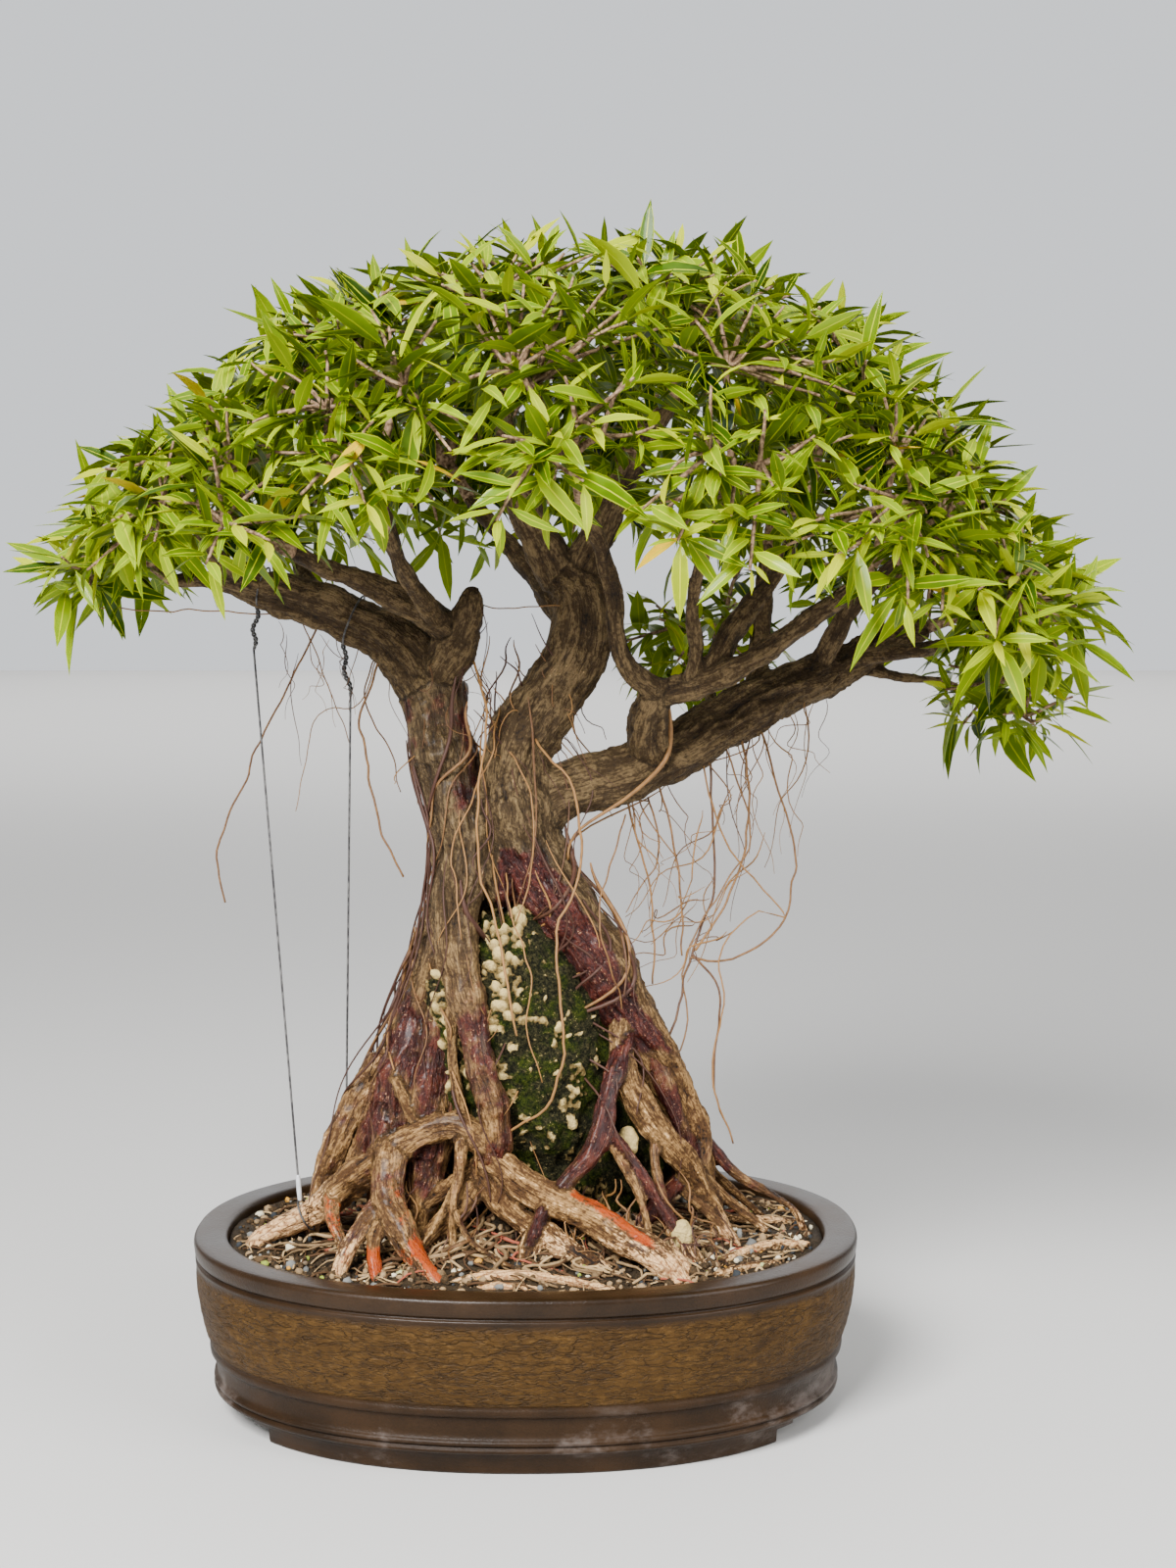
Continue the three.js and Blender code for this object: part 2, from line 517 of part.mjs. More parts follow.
// Foliage: each leafy spray grows from the end of one limb and fills its own part of the crown.
// centre and half sizes give the room that it fills; out is the way that its twigs mostly point.
const SPRAYS = [
  { name: 'left_tip', limb: 'left_bough',
    centre: [-236, 30, 520], half: [64, 70, 42], out: [-1, 0, 0.3] },
  { name: 'left_upper', limb: 'left_bough_up',
    centre: [-186, 6, 588], half: [64, 76, 48], out: [-0.8, 0, 0.8] },
  { name: 'left_crown', limb: 'left_fork_up',
    centre: [-106, 4, 634], half: [70, 76, 48], out: [-0.5, 0, 1] },
  { name: 'top_left', limb: 'top_left',
    centre: [-12, 0, 660], half: [72, 80, 46], out: [-0.1, 0, 1] },
  { name: 'top_right', limb: 'top_right',
    centre: [90, 8, 660], half: [72, 80, 46], out: [0.2, 0, 1] },
  { name: 'right_crown', limb: 'riser_back',
    centre: [180, 14, 610], half: [66, 76, 48], out: [0.6, 0, 0.8] },
  { name: 'right_upper', limb: 'right_shoulder',
    centre: [250, 26, 556], half: [64, 76, 46], out: [0.9, 0, 0.6] },
  { name: 'right_tip', limb: 'right_limb',
    centre: [298, 88, 492], half: [60, 68, 42], out: [1, 0.3, 0.2] },
  { name: 'front_far_left', limb: 'left_fork',
    centre: [-168, -94, 538], half: [68, 68, 44], out: [-0.6, -0.8, 0.3] },
  { name: 'front_left', limb: 'left_front',
    centre: [-78, -132, 574], half: [72, 68, 50], out: [-0.2, -1, 0.5] },
  { name: 'front_middle', limb: 'riser_left',
    centre: [24, -138, 590], half: [74, 68, 52], out: [0, -1, 0.6] },
  { name: 'front_right', limb: 'riser_front',
    centre: [122, -130, 578], half: [70, 68, 50], out: [0.2, -1, 0.5] },
  { name: 'front_far_right', limb: 'riser_right',
    centre: [208, -92, 532], half: [66, 68, 46], out: [0.6, -0.8, 0.3] },
  { name: 'right_front', limb: 'right_front',
    centre: [286, -32, 478], half: [60, 66, 44], out: [0.9, -0.5, 0.1] },
  { name: 'back_left', limb: 'left_back',
    centre: [-168, 128, 556], half: [72, 70, 48], out: [-0.6, 0.8, 0.4] },
  { name: 'back_middle_left', limb: 'top_back_left',
    centre: [-62, 144, 598], half: [74, 72, 52], out: [-0.2, 1, 0.6] },
  { name: 'back_middle', limb: 'top_back_right',
    centre: [52, 150, 602], half: [74, 72, 52], out: [0, 1, 0.6] },
  { name: 'back_right', limb: 'back_right',
    centre: [160, 142, 568], half: [70, 70, 50], out: [0.4, 1, 0.4] },
  { name: 'back_far_right', limb: 'right_back',
    centre: [246, 146, 510], half: [62, 66, 44], out: [0.8, 0.8, 0.2] },
  { name: 'back_low', limb: 'back_low',
    centre: [112, 128, 454], half: [62, 54, 36], out: [0, 1, 0.1] },
  { name: 'right_low', limb: 'right_low',
    centre: [302, 92, 424], half: [52, 54, 30], out: [1, 0.1, -0.1] },
];

const CELL_MARGIN = 1;
const CORE_SHARE = 0.3;
const CORE_LEAVES = 6;
const TWIG_TURNS = [0, 95, -95];     // degrees round from the way the spray grows out
const TWIG_RISE = 0.3;
const LEAF_SPACING = 8;           // least distance between the midribs of two leaves of a spray

function allLimbs() {
  return [...Object.values(TRUNK), ...Object.values(LIMBS)];
}

// A point belongs to a spray where it is nearer to that spray's centre than to any other
function inOwnRoom(point, index) {
  const own = V(...SPRAYS[index].centre);
  return SPRAYS.every((other, i) => {
    if (i === index) return true;
    const there = V(...other.centre);
    const across = there.clone().sub(own);
    const middle = own.clone().add(there).multiplyScalar(0.5);
    return point.clone().sub(middle).dot(across) / across.length() < -CELL_MARGIN;
  });
}

// True where points keep clear of every limb by the given room
function clearOfLimbs(points, room) {
  return allLimbs().every((stations) => {
    for (let s = 0; s + 1 < stations.length; s++) {
      const [ax, ay, az, ar] = stations[s];
      const [bx, by, bz, br] = stations[s + 1];
      const a = V(ax, ay, az);
      const along = V(bx, by, bz).sub(a);
      for (const point of points) {
        const t = THREE.MathUtils.clamp(point.clone().sub(a).dot(along) / along.lengthSq(), 0, 1);
        const distance = point.distanceTo(a.clone().addScaledVector(along, t));
        if (distance < THREE.MathUtils.lerp(ar, br, t) + room) return false;
      }
    }
    return true;
  });
}

// A leaf's midrib as points from its foot to its tip
function midrib(from, tip) {
  return [0.12, 0.3, 0.5, 0.7, 0.85, 1].map((t) => from.clone().lerp(tip, t));
}

// One willow leaf, raised from a small triangle of what carries it: widest before its middle, drawn to
// a point, with a keel on one side. It lies along the longest side of the triangle, as seen from its tip.
function growLeaf(points, base, from, direction, length, width) {
  const flat = base.map((i) => points[i].clone().sub(from).projectOnPlane(direction));
  const sideLength = (k) => flat[(k + 1) % 3].distanceTo(flat[k]);
  const longest = [0, 1, 2].reduce((best, k) => (sideLength(k) > sideLength(best) ? k : best));
  const across = flat[(longest + 1) % 3].clone().sub(flat[longest]).normalize();
  const lift = across.clone().cross(direction);
  if (flat[(longest + 2) % 3].dot(lift) > flat[longest].dot(lift)) lift.negate();
  const middle = from.clone().addScaledVector(direction, 0.4 * length).addScaledVector(lift, 0.07 * length);
  const tip = from.clone().addScaledVector(direction, length).addScaledVector(lift, -0.08 * length);
  const ring = [];
  ring[longest] = middle.clone().addScaledVector(across, -width / 2);
  ring[(longest + 1) % 3] = middle.clone().addScaledVector(across, width / 2);
  ring[(longest + 2) % 3] = middle.clone().addScaledVector(lift, -LEAF_THICKNESS);
  const first = points.length;
  points.push(...ring, tip);
  const triangles = [];
  for (let i = 0; i < 3; i++) {
    const n = (i + 1) % 3;
    triangles.push([base[i], base[n], first + n]);
    triangles.push([base[i], first + n, first + i]);
    triangles.push([first + i, first + n, first + 3]);
  }
  return { triangles, outline: [...ring, tip], tip };
}

// Whether two triangles with no corner in common pass through each other
function trianglesCross(points, first, second) {
  if (first.some((i) => second.includes(i))) return false;
  const pierces = (edges, face) => {
    const [a, b, c] = face.map((i) => points[i]);
    const plane = new THREE.Plane().setFromCoplanarPoints(a, b, c);
    return [0, 1, 2].some((k) => {
      const edge = new THREE.Line3(points[edges[k]], points[edges[(k + 1) % 3]]);
      const hit = plane.intersectLine(edge, V(0, 0, 0));
      return hit !== null && THREE.Triangle.containsPoint(hit, a, b, c);
    });
  };
  return pierces(first, second) || pierces(second, first);
}

// Tries a leaf on a small triangle, leaning a few ways until it is clear of limbs, of the next spray
// and of the leaves already there. Returns its triangles, or none where there is no room.
function tryLeaf(points, base, leans, shell, spray) {
  const { index, random, ribs } = spray;
  const from = base.reduce((sum, i) => sum.addScaledVector(points[i], 1 / 3), V(0, 0, 0));
  for (const lean of leans) {
    const shake = V(random() - 0.5, random() - 0.5, random() - 0.5).multiplyScalar(0.2);
    const direction = lean.clone().add(shake).normalize();
    const length = LEAF_LENGTH * (0.88 + 0.24 * random());
    const width = LEAF_WIDTH * (0.9 + 0.2 * random());
    const before = points.length;
    const leaf = growLeaf(points, base, from, direction, length, width);
    const rib = midrib(from, leaf.tip);
    const free = ribs.every((other) => other.every((p, i) => rib.every((q, j) => (
      p.distanceTo(q) > (i + j > 1 ? LEAF_SPACING : 3)))));
    const test = [...leaf.outline, ...rib];
    if (free && test.every((p) => inOwnRoom(p, index)) && clearOfLimbs(test, 2.5)
      && leaf.triangles.every((one) => [...shell, ...leaf.triangles].every((other) => (
        !trianglesCross(points, one, other))))) {
      ribs.push(rib);
      return leaf.triangles;
    }
    points.length = before;
  }
  return null;
}

// A three-sided twig with two whorls of leaves raised from its faces and one leaf at its end
function leafyTwig(start, end, spray) {
  const axis = end.clone().sub(start).normalize();
  const [{ normal, side }] = pathFrames([start, end]);
  const length = start.distanceTo(end);
  const levels = [0, 0.4, 0.56, 0.84, 1].map((share) => share * length);
  const points = [];
  levels.forEach((along, level) => {
    for (let i = 0; i < 3; i++) {
      const angle = 2 * Math.PI * i / 3 + 0.55 * level;
      const radius = TWIG_RADIUS * (1 - 0.1 * level);
      points.push(start.clone().addScaledVector(axis, along)
        .addScaledVector(normal, radius * Math.cos(angle))
        .addScaledVector(side, radius * Math.sin(angle)));
    }
  });
  const triangles = [[2, 1, 0]];
  const leafOrFace = (base, spread) => {
    const [a, b, c] = base.map((i) => points[i]);
    const outward = b.clone().sub(a).cross(c.clone().sub(a)).normalize();
    const leans = [1, 0.6, 1.5, 0.3].map((share) => axis.clone().addScaledVector(outward, spread * share));
    triangles.push(...(tryLeaf(points, base, leans, triangles, spray) ?? [base]));
  };
  for (let level = 0; level + 1 < levels.length; level++) {
    for (let i = 0; i < 3; i++) {
      const a = level * 3 + i;
      const b = level * 3 + (i + 1) % 3;
      triangles.push([a, b + 3, a + 3]);
      if (level % 2 === 0) triangles.push([a, b, b + 3]);
    }
  }
  leafOrFace([12, 13, 14], 0);
  for (const level of [3, 1]) {
    for (let i = 0; i < 3; i++) {
      const a = level * 3 + i;
      const b = level * 3 + (i + 1) % 3;
      leafOrFace([a, b, b + 3], 0.9);
    }
  }
  return solid(points, triangles);
}

// The dense inner part of a spray, where leaves lie over each other: a small rough lump, with leaves
// raised from as many of its outward faces as there is room for
function sprayCore(spray) {
  const { index, random, outward } = spray;
  const { centre, half } = SPRAYS[index];
  const middle = V(...centre);
  const points = [];
  const place = (direction) => {
    let reach = CORE_SHARE * (0.84 + 0.32 * random());
    let point;
    do {
      point = middle.clone().add(V(...half).multiply(direction).multiplyScalar(reach));
      reach *= 0.95;
    } while (!inOwnRoom(point, index) && reach > 0.1);
    return point;
  };
  const rings = 2;
  const around = 6;
  for (let ring = 1; ring <= rings; ring++) {
    const down = Math.PI * ring / (rings + 1);
    for (let i = 0; i < around; i++) {
      const angle = 2 * Math.PI * (i + 0.5 * ring) / around;
      const across = Math.sin(down);
      points.push(place(V(across * Math.cos(angle), across * Math.sin(angle), Math.cos(down))));
    }
  }
  points.push(place(V(0, 0, 1)), place(V(0, 0, -1)));
  const [top, bottom] = [rings * around, rings * around + 1];
  const faces = [];
  for (let i = 0; i < around; i++) {
    const n = (i + 1) % around;
    faces.push([top, i, n], [bottom, (rings - 1) * around + n, (rings - 1) * around + i]);
    for (let ring = 0; ring + 1 < rings; ring++) {
      const here = ring * around;
      const below = here + around;
      faces.push([here + i, below + i, here + n], [here + n, below + i, below + n]);
    }
  }
  const order = new Map(faces.map((face) => [face, random()]));
  faces.sort((a, b) => order.get(a) - order.get(b));
  const triangles = [];
  let leaves = 0;
  for (const indices of faces) {
    const face = indices.map((i) => points[i]);
    const heart = face.reduce((sum, p) => sum.addScaledVector(p, 1 / 3), V(0, 0, 0));
    const [a, b, c] = face;
    const normal = b.clone().sub(a).cross(c.clone().sub(a)).normalize();
    const first = points.length;
    let leaf = null;
    if (leaves < CORE_LEAVES && normal.dot(outward) + normal.z > -0.5) {
      for (const corner of face) points.push(heart.clone().lerp(corner, 0.13).addScaledVector(normal, 1.2));
      const base = [first, first + 1, first + 2];
      const swirl = outward.clone().cross(normal).normalize();
      const rise = normal.clone().cross(swirl);
      const leans = [swirl, rise, swirl.clone().negate(), rise.clone().negate()]
        .map((way) => way.multiplyScalar(1.1).add(normal));
      const shell = [...triangles, ...faces.filter((other) => other !== indices)];
      leaf = tryLeaf(points, base, leans, shell, spray);
    }
    if (leaf) {
      leaves += 1;
      triangles.push(...leaf);
      for (let k = 0; k < 3; k++) {
        const n = (k + 1) % 3;
        triangles.push([indices[k], indices[n], first + n], [indices[k], first + n, first + k]);
      }
    } else {
      points.length = first;
      triangles.push(indices);
    }
  }
  return solid(points, triangles);
}

function limbEnd(name) {
  const stations = { ...TRUNK, ...LIMBS }[name];
  const [x, y, z, radius] = stations[stations.length - 1];
  const frames = pathFrames(stations.map(([px, py, pz]) => V(px, py, pz)));
  return { end: V(x, y, z), radius, along: frames[frames.length - 1].tangent };
}

// How far a spray's own room reaches from its centre along a direction
function roomAlong(direction, index) {
  const { centre, half } = SPRAYS[index];
  let reach = V(...half).multiply(direction).length();
  while (reach > 20 && !inOwnRoom(V(...centre).addScaledVector(direction, reach), index)) reach -= 3;
  return reach;
}

function makeSpray(index, limbCutters) {
  const { centre: place, half, limb, out } = SPRAYS[index];
  const centre = V(...place);
  const outward = V(...out).normalize();
  const spray = { index, random: randomSource(LEAF_SEED + index), ribs: [], outward };
  const { end, radius, along } = limbEnd(limb);
  const start = end.clone().addScaledVector(along, GAP);
  const bend = start.clone().addScaledVector(along, 0.35 * start.distanceTo(centre));
  const stalk = stem([
    [...start.toArray(), radius * 0.95],
    [...bend.toArray(), radius * 0.9],
    [...centre.toArray(), 2.4],
  ], { sides: 5 });
  const twigs = [];
  for (const turn of TWIG_TURNS) {
    const bearing = Math.atan2(outward.y, outward.x) + THREE.MathUtils.degToRad(turn);
    const angle = bearing + 0.3 * (spray.random() - 0.5);
    const direction = V(Math.cos(angle), Math.sin(angle), TWIG_RISE).normalize();
    const reach = Math.max(roomAlong(direction, index) - 0.76 * LEAF_LENGTH, 24);
    const tip = centre.clone().addScaledVector(direction, reach);
    const base = centre.clone().addScaledVector(direction, 11);
    if (!inOwnRoom(tip, index) || !clearOfLimbs([tip], 3)) continue;
    const before = spray.ribs.length;
    const twig = leafyTwig(base, tip, spray);
    if (spray.ribs.length - before >= 3) twigs.push(twig);
  }
  const core = largest(sprayCore(spray).subtract(limbCutters));
  return largest(join([core, stalk, ...twigs]));
}

// Mesh from a solid, with its own material
function meshOf(name, whole, color, roughness, metalness = 0) {
  const { vertProperties, triVerts } = whole.getMesh();
  const geometry = new THREE.BufferGeometry();
  geometry.setAttribute('position', new THREE.BufferAttribute(new Float32Array(vertProperties), 3));
  geometry.setIndex(new THREE.BufferAttribute(new Uint32Array(triVerts), 1));
  geometry.computeVertexNormals();
  const mesh = new THREE.Mesh(geometry, new THREE.MeshStandardMaterial({ color, roughness, metalness }));
  mesh.name = name;
  return mesh;
}

const bonsai = new THREE.Group();
const cutters = rootCutters();
const wholeRock = makeRock(0);
const limbCutters = join([
  ...Object.values(TRUNK).map((stations) => stem(stations, { ...TRUNK_FORM, grow: 0.8 })),
  ...Object.values(LIMBS).map((stations) => stem(stations, { ...LIMB_FORM, grow: 0.8 })),
]);

bonsai.add(meshOf('pot', makePot(), 0x4a3c2e, 0.7));
bonsai.add(meshOf('drain_screen_left', makeScreen(-1), 0x2c2f2d, 0.6));
bonsai.add(meshOf('drain_screen_right', makeScreen(1), 0x2c2f2d, 0.6));
bonsai.add(meshOf('soil', makeSoil([...cutters, makeRock(0.5)]), 0x3b2f25, 0.95));
bonsai.add(meshOf('rock', largest(wholeRock.subtract(join(cutters))), 0x4c5044, 0.9));
bonsai.add(meshOf('tree', makeTree(), 0x6d5547, 0.75));
for (const [name, wire] of Object.entries(WIRES)) {
  bonsai.add(meshOf(name, makeWire(wire), 0x3c3a38, 0.4, 0.8));
}
SPRAYS.forEach((spray, index) => {
  bonsai.add(meshOf(`leaves_${spray.name}`, makeSpray(index, limbCutters), 0x4f8a2a, 0.45));
});

const box = new THREE.Box3().setFromObject(bonsai);
const middle = box.getCenter(V(0, 0, 0));
bonsai.position.set(-middle.x, -middle.y, -box.min.z);

export default bonsai;
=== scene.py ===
# Looks of a willow leaf ficus bonsai grown over a rock in an oval clay pot.
# Sizes are given in millimetres about the middle of the pot's foot, +Z up, and the viewer at -Y.

import math

import bpy
import numpy as np
from mathutils.bvhtree import BVHTree
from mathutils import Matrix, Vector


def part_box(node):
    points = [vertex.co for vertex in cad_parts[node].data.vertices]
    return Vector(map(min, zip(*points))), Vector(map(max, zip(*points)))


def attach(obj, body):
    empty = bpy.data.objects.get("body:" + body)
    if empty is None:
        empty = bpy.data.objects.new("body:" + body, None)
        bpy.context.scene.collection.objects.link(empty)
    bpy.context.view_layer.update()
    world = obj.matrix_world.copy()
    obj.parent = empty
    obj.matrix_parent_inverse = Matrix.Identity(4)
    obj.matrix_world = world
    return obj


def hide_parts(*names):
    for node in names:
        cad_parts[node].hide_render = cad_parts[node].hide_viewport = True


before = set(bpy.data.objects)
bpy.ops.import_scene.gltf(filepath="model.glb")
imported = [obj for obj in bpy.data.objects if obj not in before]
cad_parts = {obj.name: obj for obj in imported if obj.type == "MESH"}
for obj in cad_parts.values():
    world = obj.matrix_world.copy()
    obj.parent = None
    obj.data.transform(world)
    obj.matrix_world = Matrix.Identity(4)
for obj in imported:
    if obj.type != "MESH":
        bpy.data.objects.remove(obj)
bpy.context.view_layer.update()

# ---- Camera -----------------------------------------------------------------------------------
# A level view from a little above the pot's rim, about 1.35 m from the tree, tipped 5 degrees down.

pot_low, pot_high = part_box("pot")
POT_FOOT = np.array([(pot_low[0] + pot_high[0]) / 2, (pot_low[1] + pot_high[1]) / 2, pot_low[2]])


def in_frame(points):
    """Millimetres about the pot's foot, as metres in the model's frame: foot + points / 1000."""
    return POT_FOOT + np.asarray(points, float) / 1000


def placed(name, data):
    """A new object of that name, linked to the scene."""
    thing = bpy.data.objects.new(name, data)
    bpy.context.scene.collection.objects.link(thing)
    return thing


camera = placed("camera", bpy.data.cameras.new("camera"))
camera.data.lens = 52.0
camera.data.sensor_width = 36.0
camera.location = in_frame((37.35, -1349.5, 490.2))
camera.rotation_euler = (math.radians(90 - 4.97), 0, 0)
bpy.context.scene.camera = camera

# ---- Trunk and limbs --------------------------------------------------------------------------
# Two columns fused at the neck, which part into two leaders and a long right limb with its risers.
# Living wood with furrowed grey-brown bark, grown in one piece with the roots below.
# Each line is a run of stations (x, y, z, radius), thick end first.

TRUNK = {
    "left_column": [(-57, 15, 431, 18), (-50, 4, 390, 18.5), (-42, -6, 355, 18.5), (-38, -14, 327, 17),
        (-40, -26, 302, 14), (-37, -42, 270, 11), (-30, -52, 240, 9.5), (-25, -57, 214, 9),
        (-18, -59, 190, 9), (-16, -58, 172, 9.5), (-20, -55, 154, 9)],
    "middle_column": [(20, 27, 501, 13), (33, 18, 480, 15.5), (30, 12, 450, 16.5), (13, 8, 425, 17.5),
        (0, 3, 402, 19), (-7, 0, 373, 21.5), (-3, -2, 344, 24), (9, -5, 319, 22.5), (24, -10, 297, 20.5),
        (39, -12, 275, 19), (54, -12, 250, 17.5), (68, -10, 226, 15.5), (82, -6, 202, 13.5),
        (95, -2, 177, 11), (103, 0, 157, 8.5), (106, -2, 139, 7), (108, -10, 118, 5)],
    "right_limb": [(-6, 0, 342, 18), (14, 2, 363, 17), (34, 6, 371, 16.5), (55, 14, 375, 16),
        (76, 24, 382, 15.7), (97, 34, 393, 16), (120, 46, 405, 16), (146, 58, 420, 15), (175, 70, 432, 13.5),
        (204, 82, 444, 11.5), (228, 92, 455, 9), (252, 98, 464, 6.5)],
    "left_bough": [(-57, 15, 431, 18), (-72, 18, 451, 16.5), (-93, 20, 465, 14.5), (-115, 22, 475, 13.5),
        (-136, 24, 483, 12.5), (-158, 26, 490, 10.5), (-176, 28, 494, 7.5), (-196, 31, 495, 5),
        (-216, 34, 494, 3.4)],
}

LIMBS = {
    "left_stub": [(-52, 10, 440, 13.5), (-40, 0, 458, 12), (-33, -6, 474, 8.8), (-31, -8, 485, 6),
        (-30, -9, 490, 2.6)],
    "right_riser": [(77, 22, 384, 13.5), (73, 4, 403, 11.7), (75, -8, 419, 10.4), (82, -15, 431, 9.5)],
    "riser_left": [(80, -14, 427, 8), (61, -28, 443, 7), (54, -36, 464, 5.8), (51, -44, 490, 5.2),
        (44, -66, 514, 4.5), (34, -90, 536, 3.6)],
    "riser_right": [(82, -14, 428, 9), (101, -22, 433, 8), (126, -34, 444, 6.8), (151, -46, 462, 6.2),
        (170, -58, 476, 5.4), (186, -72, 488, 4.2)],
    "riser_front": [(98, -22, 432, 5.4), (100, -34, 456, 4.7), (96, -46, 478, 4.2), (100, -66, 500, 3.8),
        (108, -92, 522, 3.2)],
    "riser_back": [(108, -26, 437, 6.3), (119, -22, 462, 6.3), (133, -15, 480, 5.6), (149, -6, 499, 4.8),
        (161, 6, 524, 4.2), (170, 14, 546, 3.6)],
    "left_bough_up": [(-170, 26, 494, 6.4), (-182, 20, 506, 5.2), (-193, 15, 520, 4.2), (-198, 12, 536, 3.4)],
    "left_fork": [(-41, 0, 461, 10), (-60, -8, 476, 8.7), (-78, -16, 486, 7.8), (-95, -26, 494, 6.8),
        (-113, -42, 501, 5.4), (-130, -60, 510, 4.2)],
    "left_fork_up": [(-63, -9, 479, 5.5), (-72, -4, 497, 4.9), (-79, 2, 520, 4.4), (-86, 6, 548, 3.9),
        (-92, 8, 574, 3.3)],
    "left_front": [(-50, -3, 468, 6), (-60, -34, 484, 5.2), (-68, -66, 502, 4.6), (-74, -98, 522, 3.8)],
    "top_left": [(21, 26, 494, 12), (8, 18, 520, 10.4), (-6, 12, 550, 8), (-12, 6, 578, 6),
        (-10, 2, 598, 4.2)],
    "top_right": [(30, 22, 488, 12), (44, 26, 522, 9.6), (60, 26, 556, 7.6), (76, 22, 582, 5.8),
        (88, 16, 600, 4.2)],
    "right_shoulder": [(178, 70, 434, 7.5), (191, 58, 462, 6.4), (206, 48, 486, 5), (226, 42, 505, 3.8)],
    "left_back": [(-118, 24, 478, 7), (-134, 54, 492, 5.6), (-146, 82, 508, 4.4), (-154, 102, 524, 3.4)],
    "top_back_left": [(26, 20, 470, 9), (8, 54, 492, 7.4), (-16, 86, 520, 5.8), (-38, 110, 546, 4.2)],
    "top_back_right": [(38, 24, 506, 8), (48, 58, 530, 6.4), (54, 90, 548, 5), (56, 114, 560, 3.8)],
    "back_right": [(140, 56, 418, 8), (146, 84, 448, 6.6), (150, 108, 484, 5.2), (154, 124, 516, 4)],
    "right_back": [(206, 84, 446, 6.5), (218, 106, 458, 5), (228, 124, 472, 3.6)],
    "back_low": [(118, 46, 404, 6.5), (116, 72, 414, 5), (114, 92, 426, 3.6)],
    "right_low": [(204, 82, 440, 4.5), (235, 88, 433, 3.4), (262, 92, 431, 2.6)],
    "right_front": [(206, 80, 446, 6), (228, 52, 450, 5), (246, 18, 454, 4.2), (258, -12, 458, 3.4)],
}


def smooth_run(stations, step):
    """Points every step mm on the Catmull-Rom curve through the stations, radius included."""
    knots = np.asarray(stations, float)
    knots = np.vstack([2 * knots[0] - knots[1], knots, 2 * knots[-1] - knots[-2]])
    rows = []
    for before, start, end, after in zip(knots[:-3], knots[1:-2], knots[2:-1], knots[3:]):
        count = max(2, int(np.linalg.norm((end - start)[:3]) / step))
        t = np.linspace(0, 1, count, endpoint=False)[:, None]
        rows.append(0.5 * (2 * start + (end - before) * t
                           + (2 * before - 5 * start + 4 * end - after) * t ** 2
                           + (3 * start - before - 3 * end + after) * t ** 3))
    rows.append(knots[-2:-1])
    run = np.vstack(rows)
    run[:, 3] = np.maximum(run[:, 3], 0.3)
    return run


def unit(vectors):
    """Vectors scaled to length 1."""
    return vectors / np.maximum(np.linalg.norm(vectors, axis=-1, keepdims=True), 1e-9)


def run_frames(centres):
    """Tangent, normal and side along runs of points (runs, points, 3): the normal is the part of a
    fixed direction, the one least along the run, that stands square to the tangent."""
    tangent = unit(np.gradient(centres, axis=1))
    mean = np.abs(tangent.mean(axis=1))
    fixed = np.eye(3)[np.argmin(mean, axis=1)][:, None, :]
    normal = unit(fixed - tangent * (fixed * tangent).sum(-1, keepdims=True))
    return tangent, normal, np.cross(tangent, normal)


def ring_faces(rows, around):
    """Quads between rows of rings with that many points each, and the fans that close both ends on
    two points, which are numbered after the rings."""
    first = np.arange(around)
    after = (first + 1) % around
    row = np.arange(rows - 1)[:, None] * around
    quads = np.stack([row + first, row + after, row + around + after, row + around + first], axis=-1)
    count, last = rows * around, (rows - 1) * around
    foot = np.stack([np.full(around, count), after, first], axis=-1)
    head = np.stack([np.full(around, count + 1), last + first, last + after], axis=-1)
    return quads.reshape(-1, 4), np.vstack([foot, head])


def copies(quads, triangles, many, points):
    """The faces of many copies of a shape that has that number of points."""
    shift = (np.arange(many) * points)[:, None, None]
    return (quads + shift).reshape(-1, 4), (triangles + shift).reshape(-1, 3)


def tubes(runs, sides, wave=0.0):
    """Closed tubes round runs (runs, points, 4): centre + r(a) * (cos a * normal + sin a * side),
    with r = radius * (1 + wave * cos(3 a + 0.05 * point)), and a point at each end to close it."""
    runs = np.asarray(runs, float)
    many, length = runs.shape[:2]
    tangent, normal, side = run_frames(runs[..., :3])
    angle = np.linspace(0, 2 * np.pi, sides, endpoint=False)
    radius = runs[..., 3, None] * (1 + wave * np.cos(3 * angle + 0.05 * np.arange(length)[:, None]))
    ring = (runs[:, :, None, :3] + (radius * np.cos(angle))[..., None] * normal[:, :, None]
            + (radius * np.sin(angle))[..., None] * side[:, :, None])
    ends = np.stack([runs[:, 0, :3] - tangent[:, 0] * runs[:, 0, 3:] * 0.5,
                     runs[:, -1, :3] + tangent[:, -1] * runs[:, -1, 3:] * 0.5], axis=1)
    vertices = np.concatenate([ring.reshape(many, -1, 3), ends], axis=1)
    return (vertices.reshape(-1, 3), *copies(*ring_faces(length, sides), many, vertices.shape[1]))


def gather(shapes):
    """Several (vertices, quads, triangles) as one."""
    shapes = list(shapes)
    starts = np.cumsum([0] + [len(shape[0]) for shape in shapes[:-1]])
    quads, triangles = (np.vstack([shape[k] + start for shape, start in zip(shapes, starts)]) for k in (1, 2))
    return np.vstack([shape[0] for shape in shapes]), quads, triangles


def riding(name, mesh):
    """An object for a mesh that is already in its place in the frame."""
    piece = placed(name, mesh)
    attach(piece, "root")
    return piece


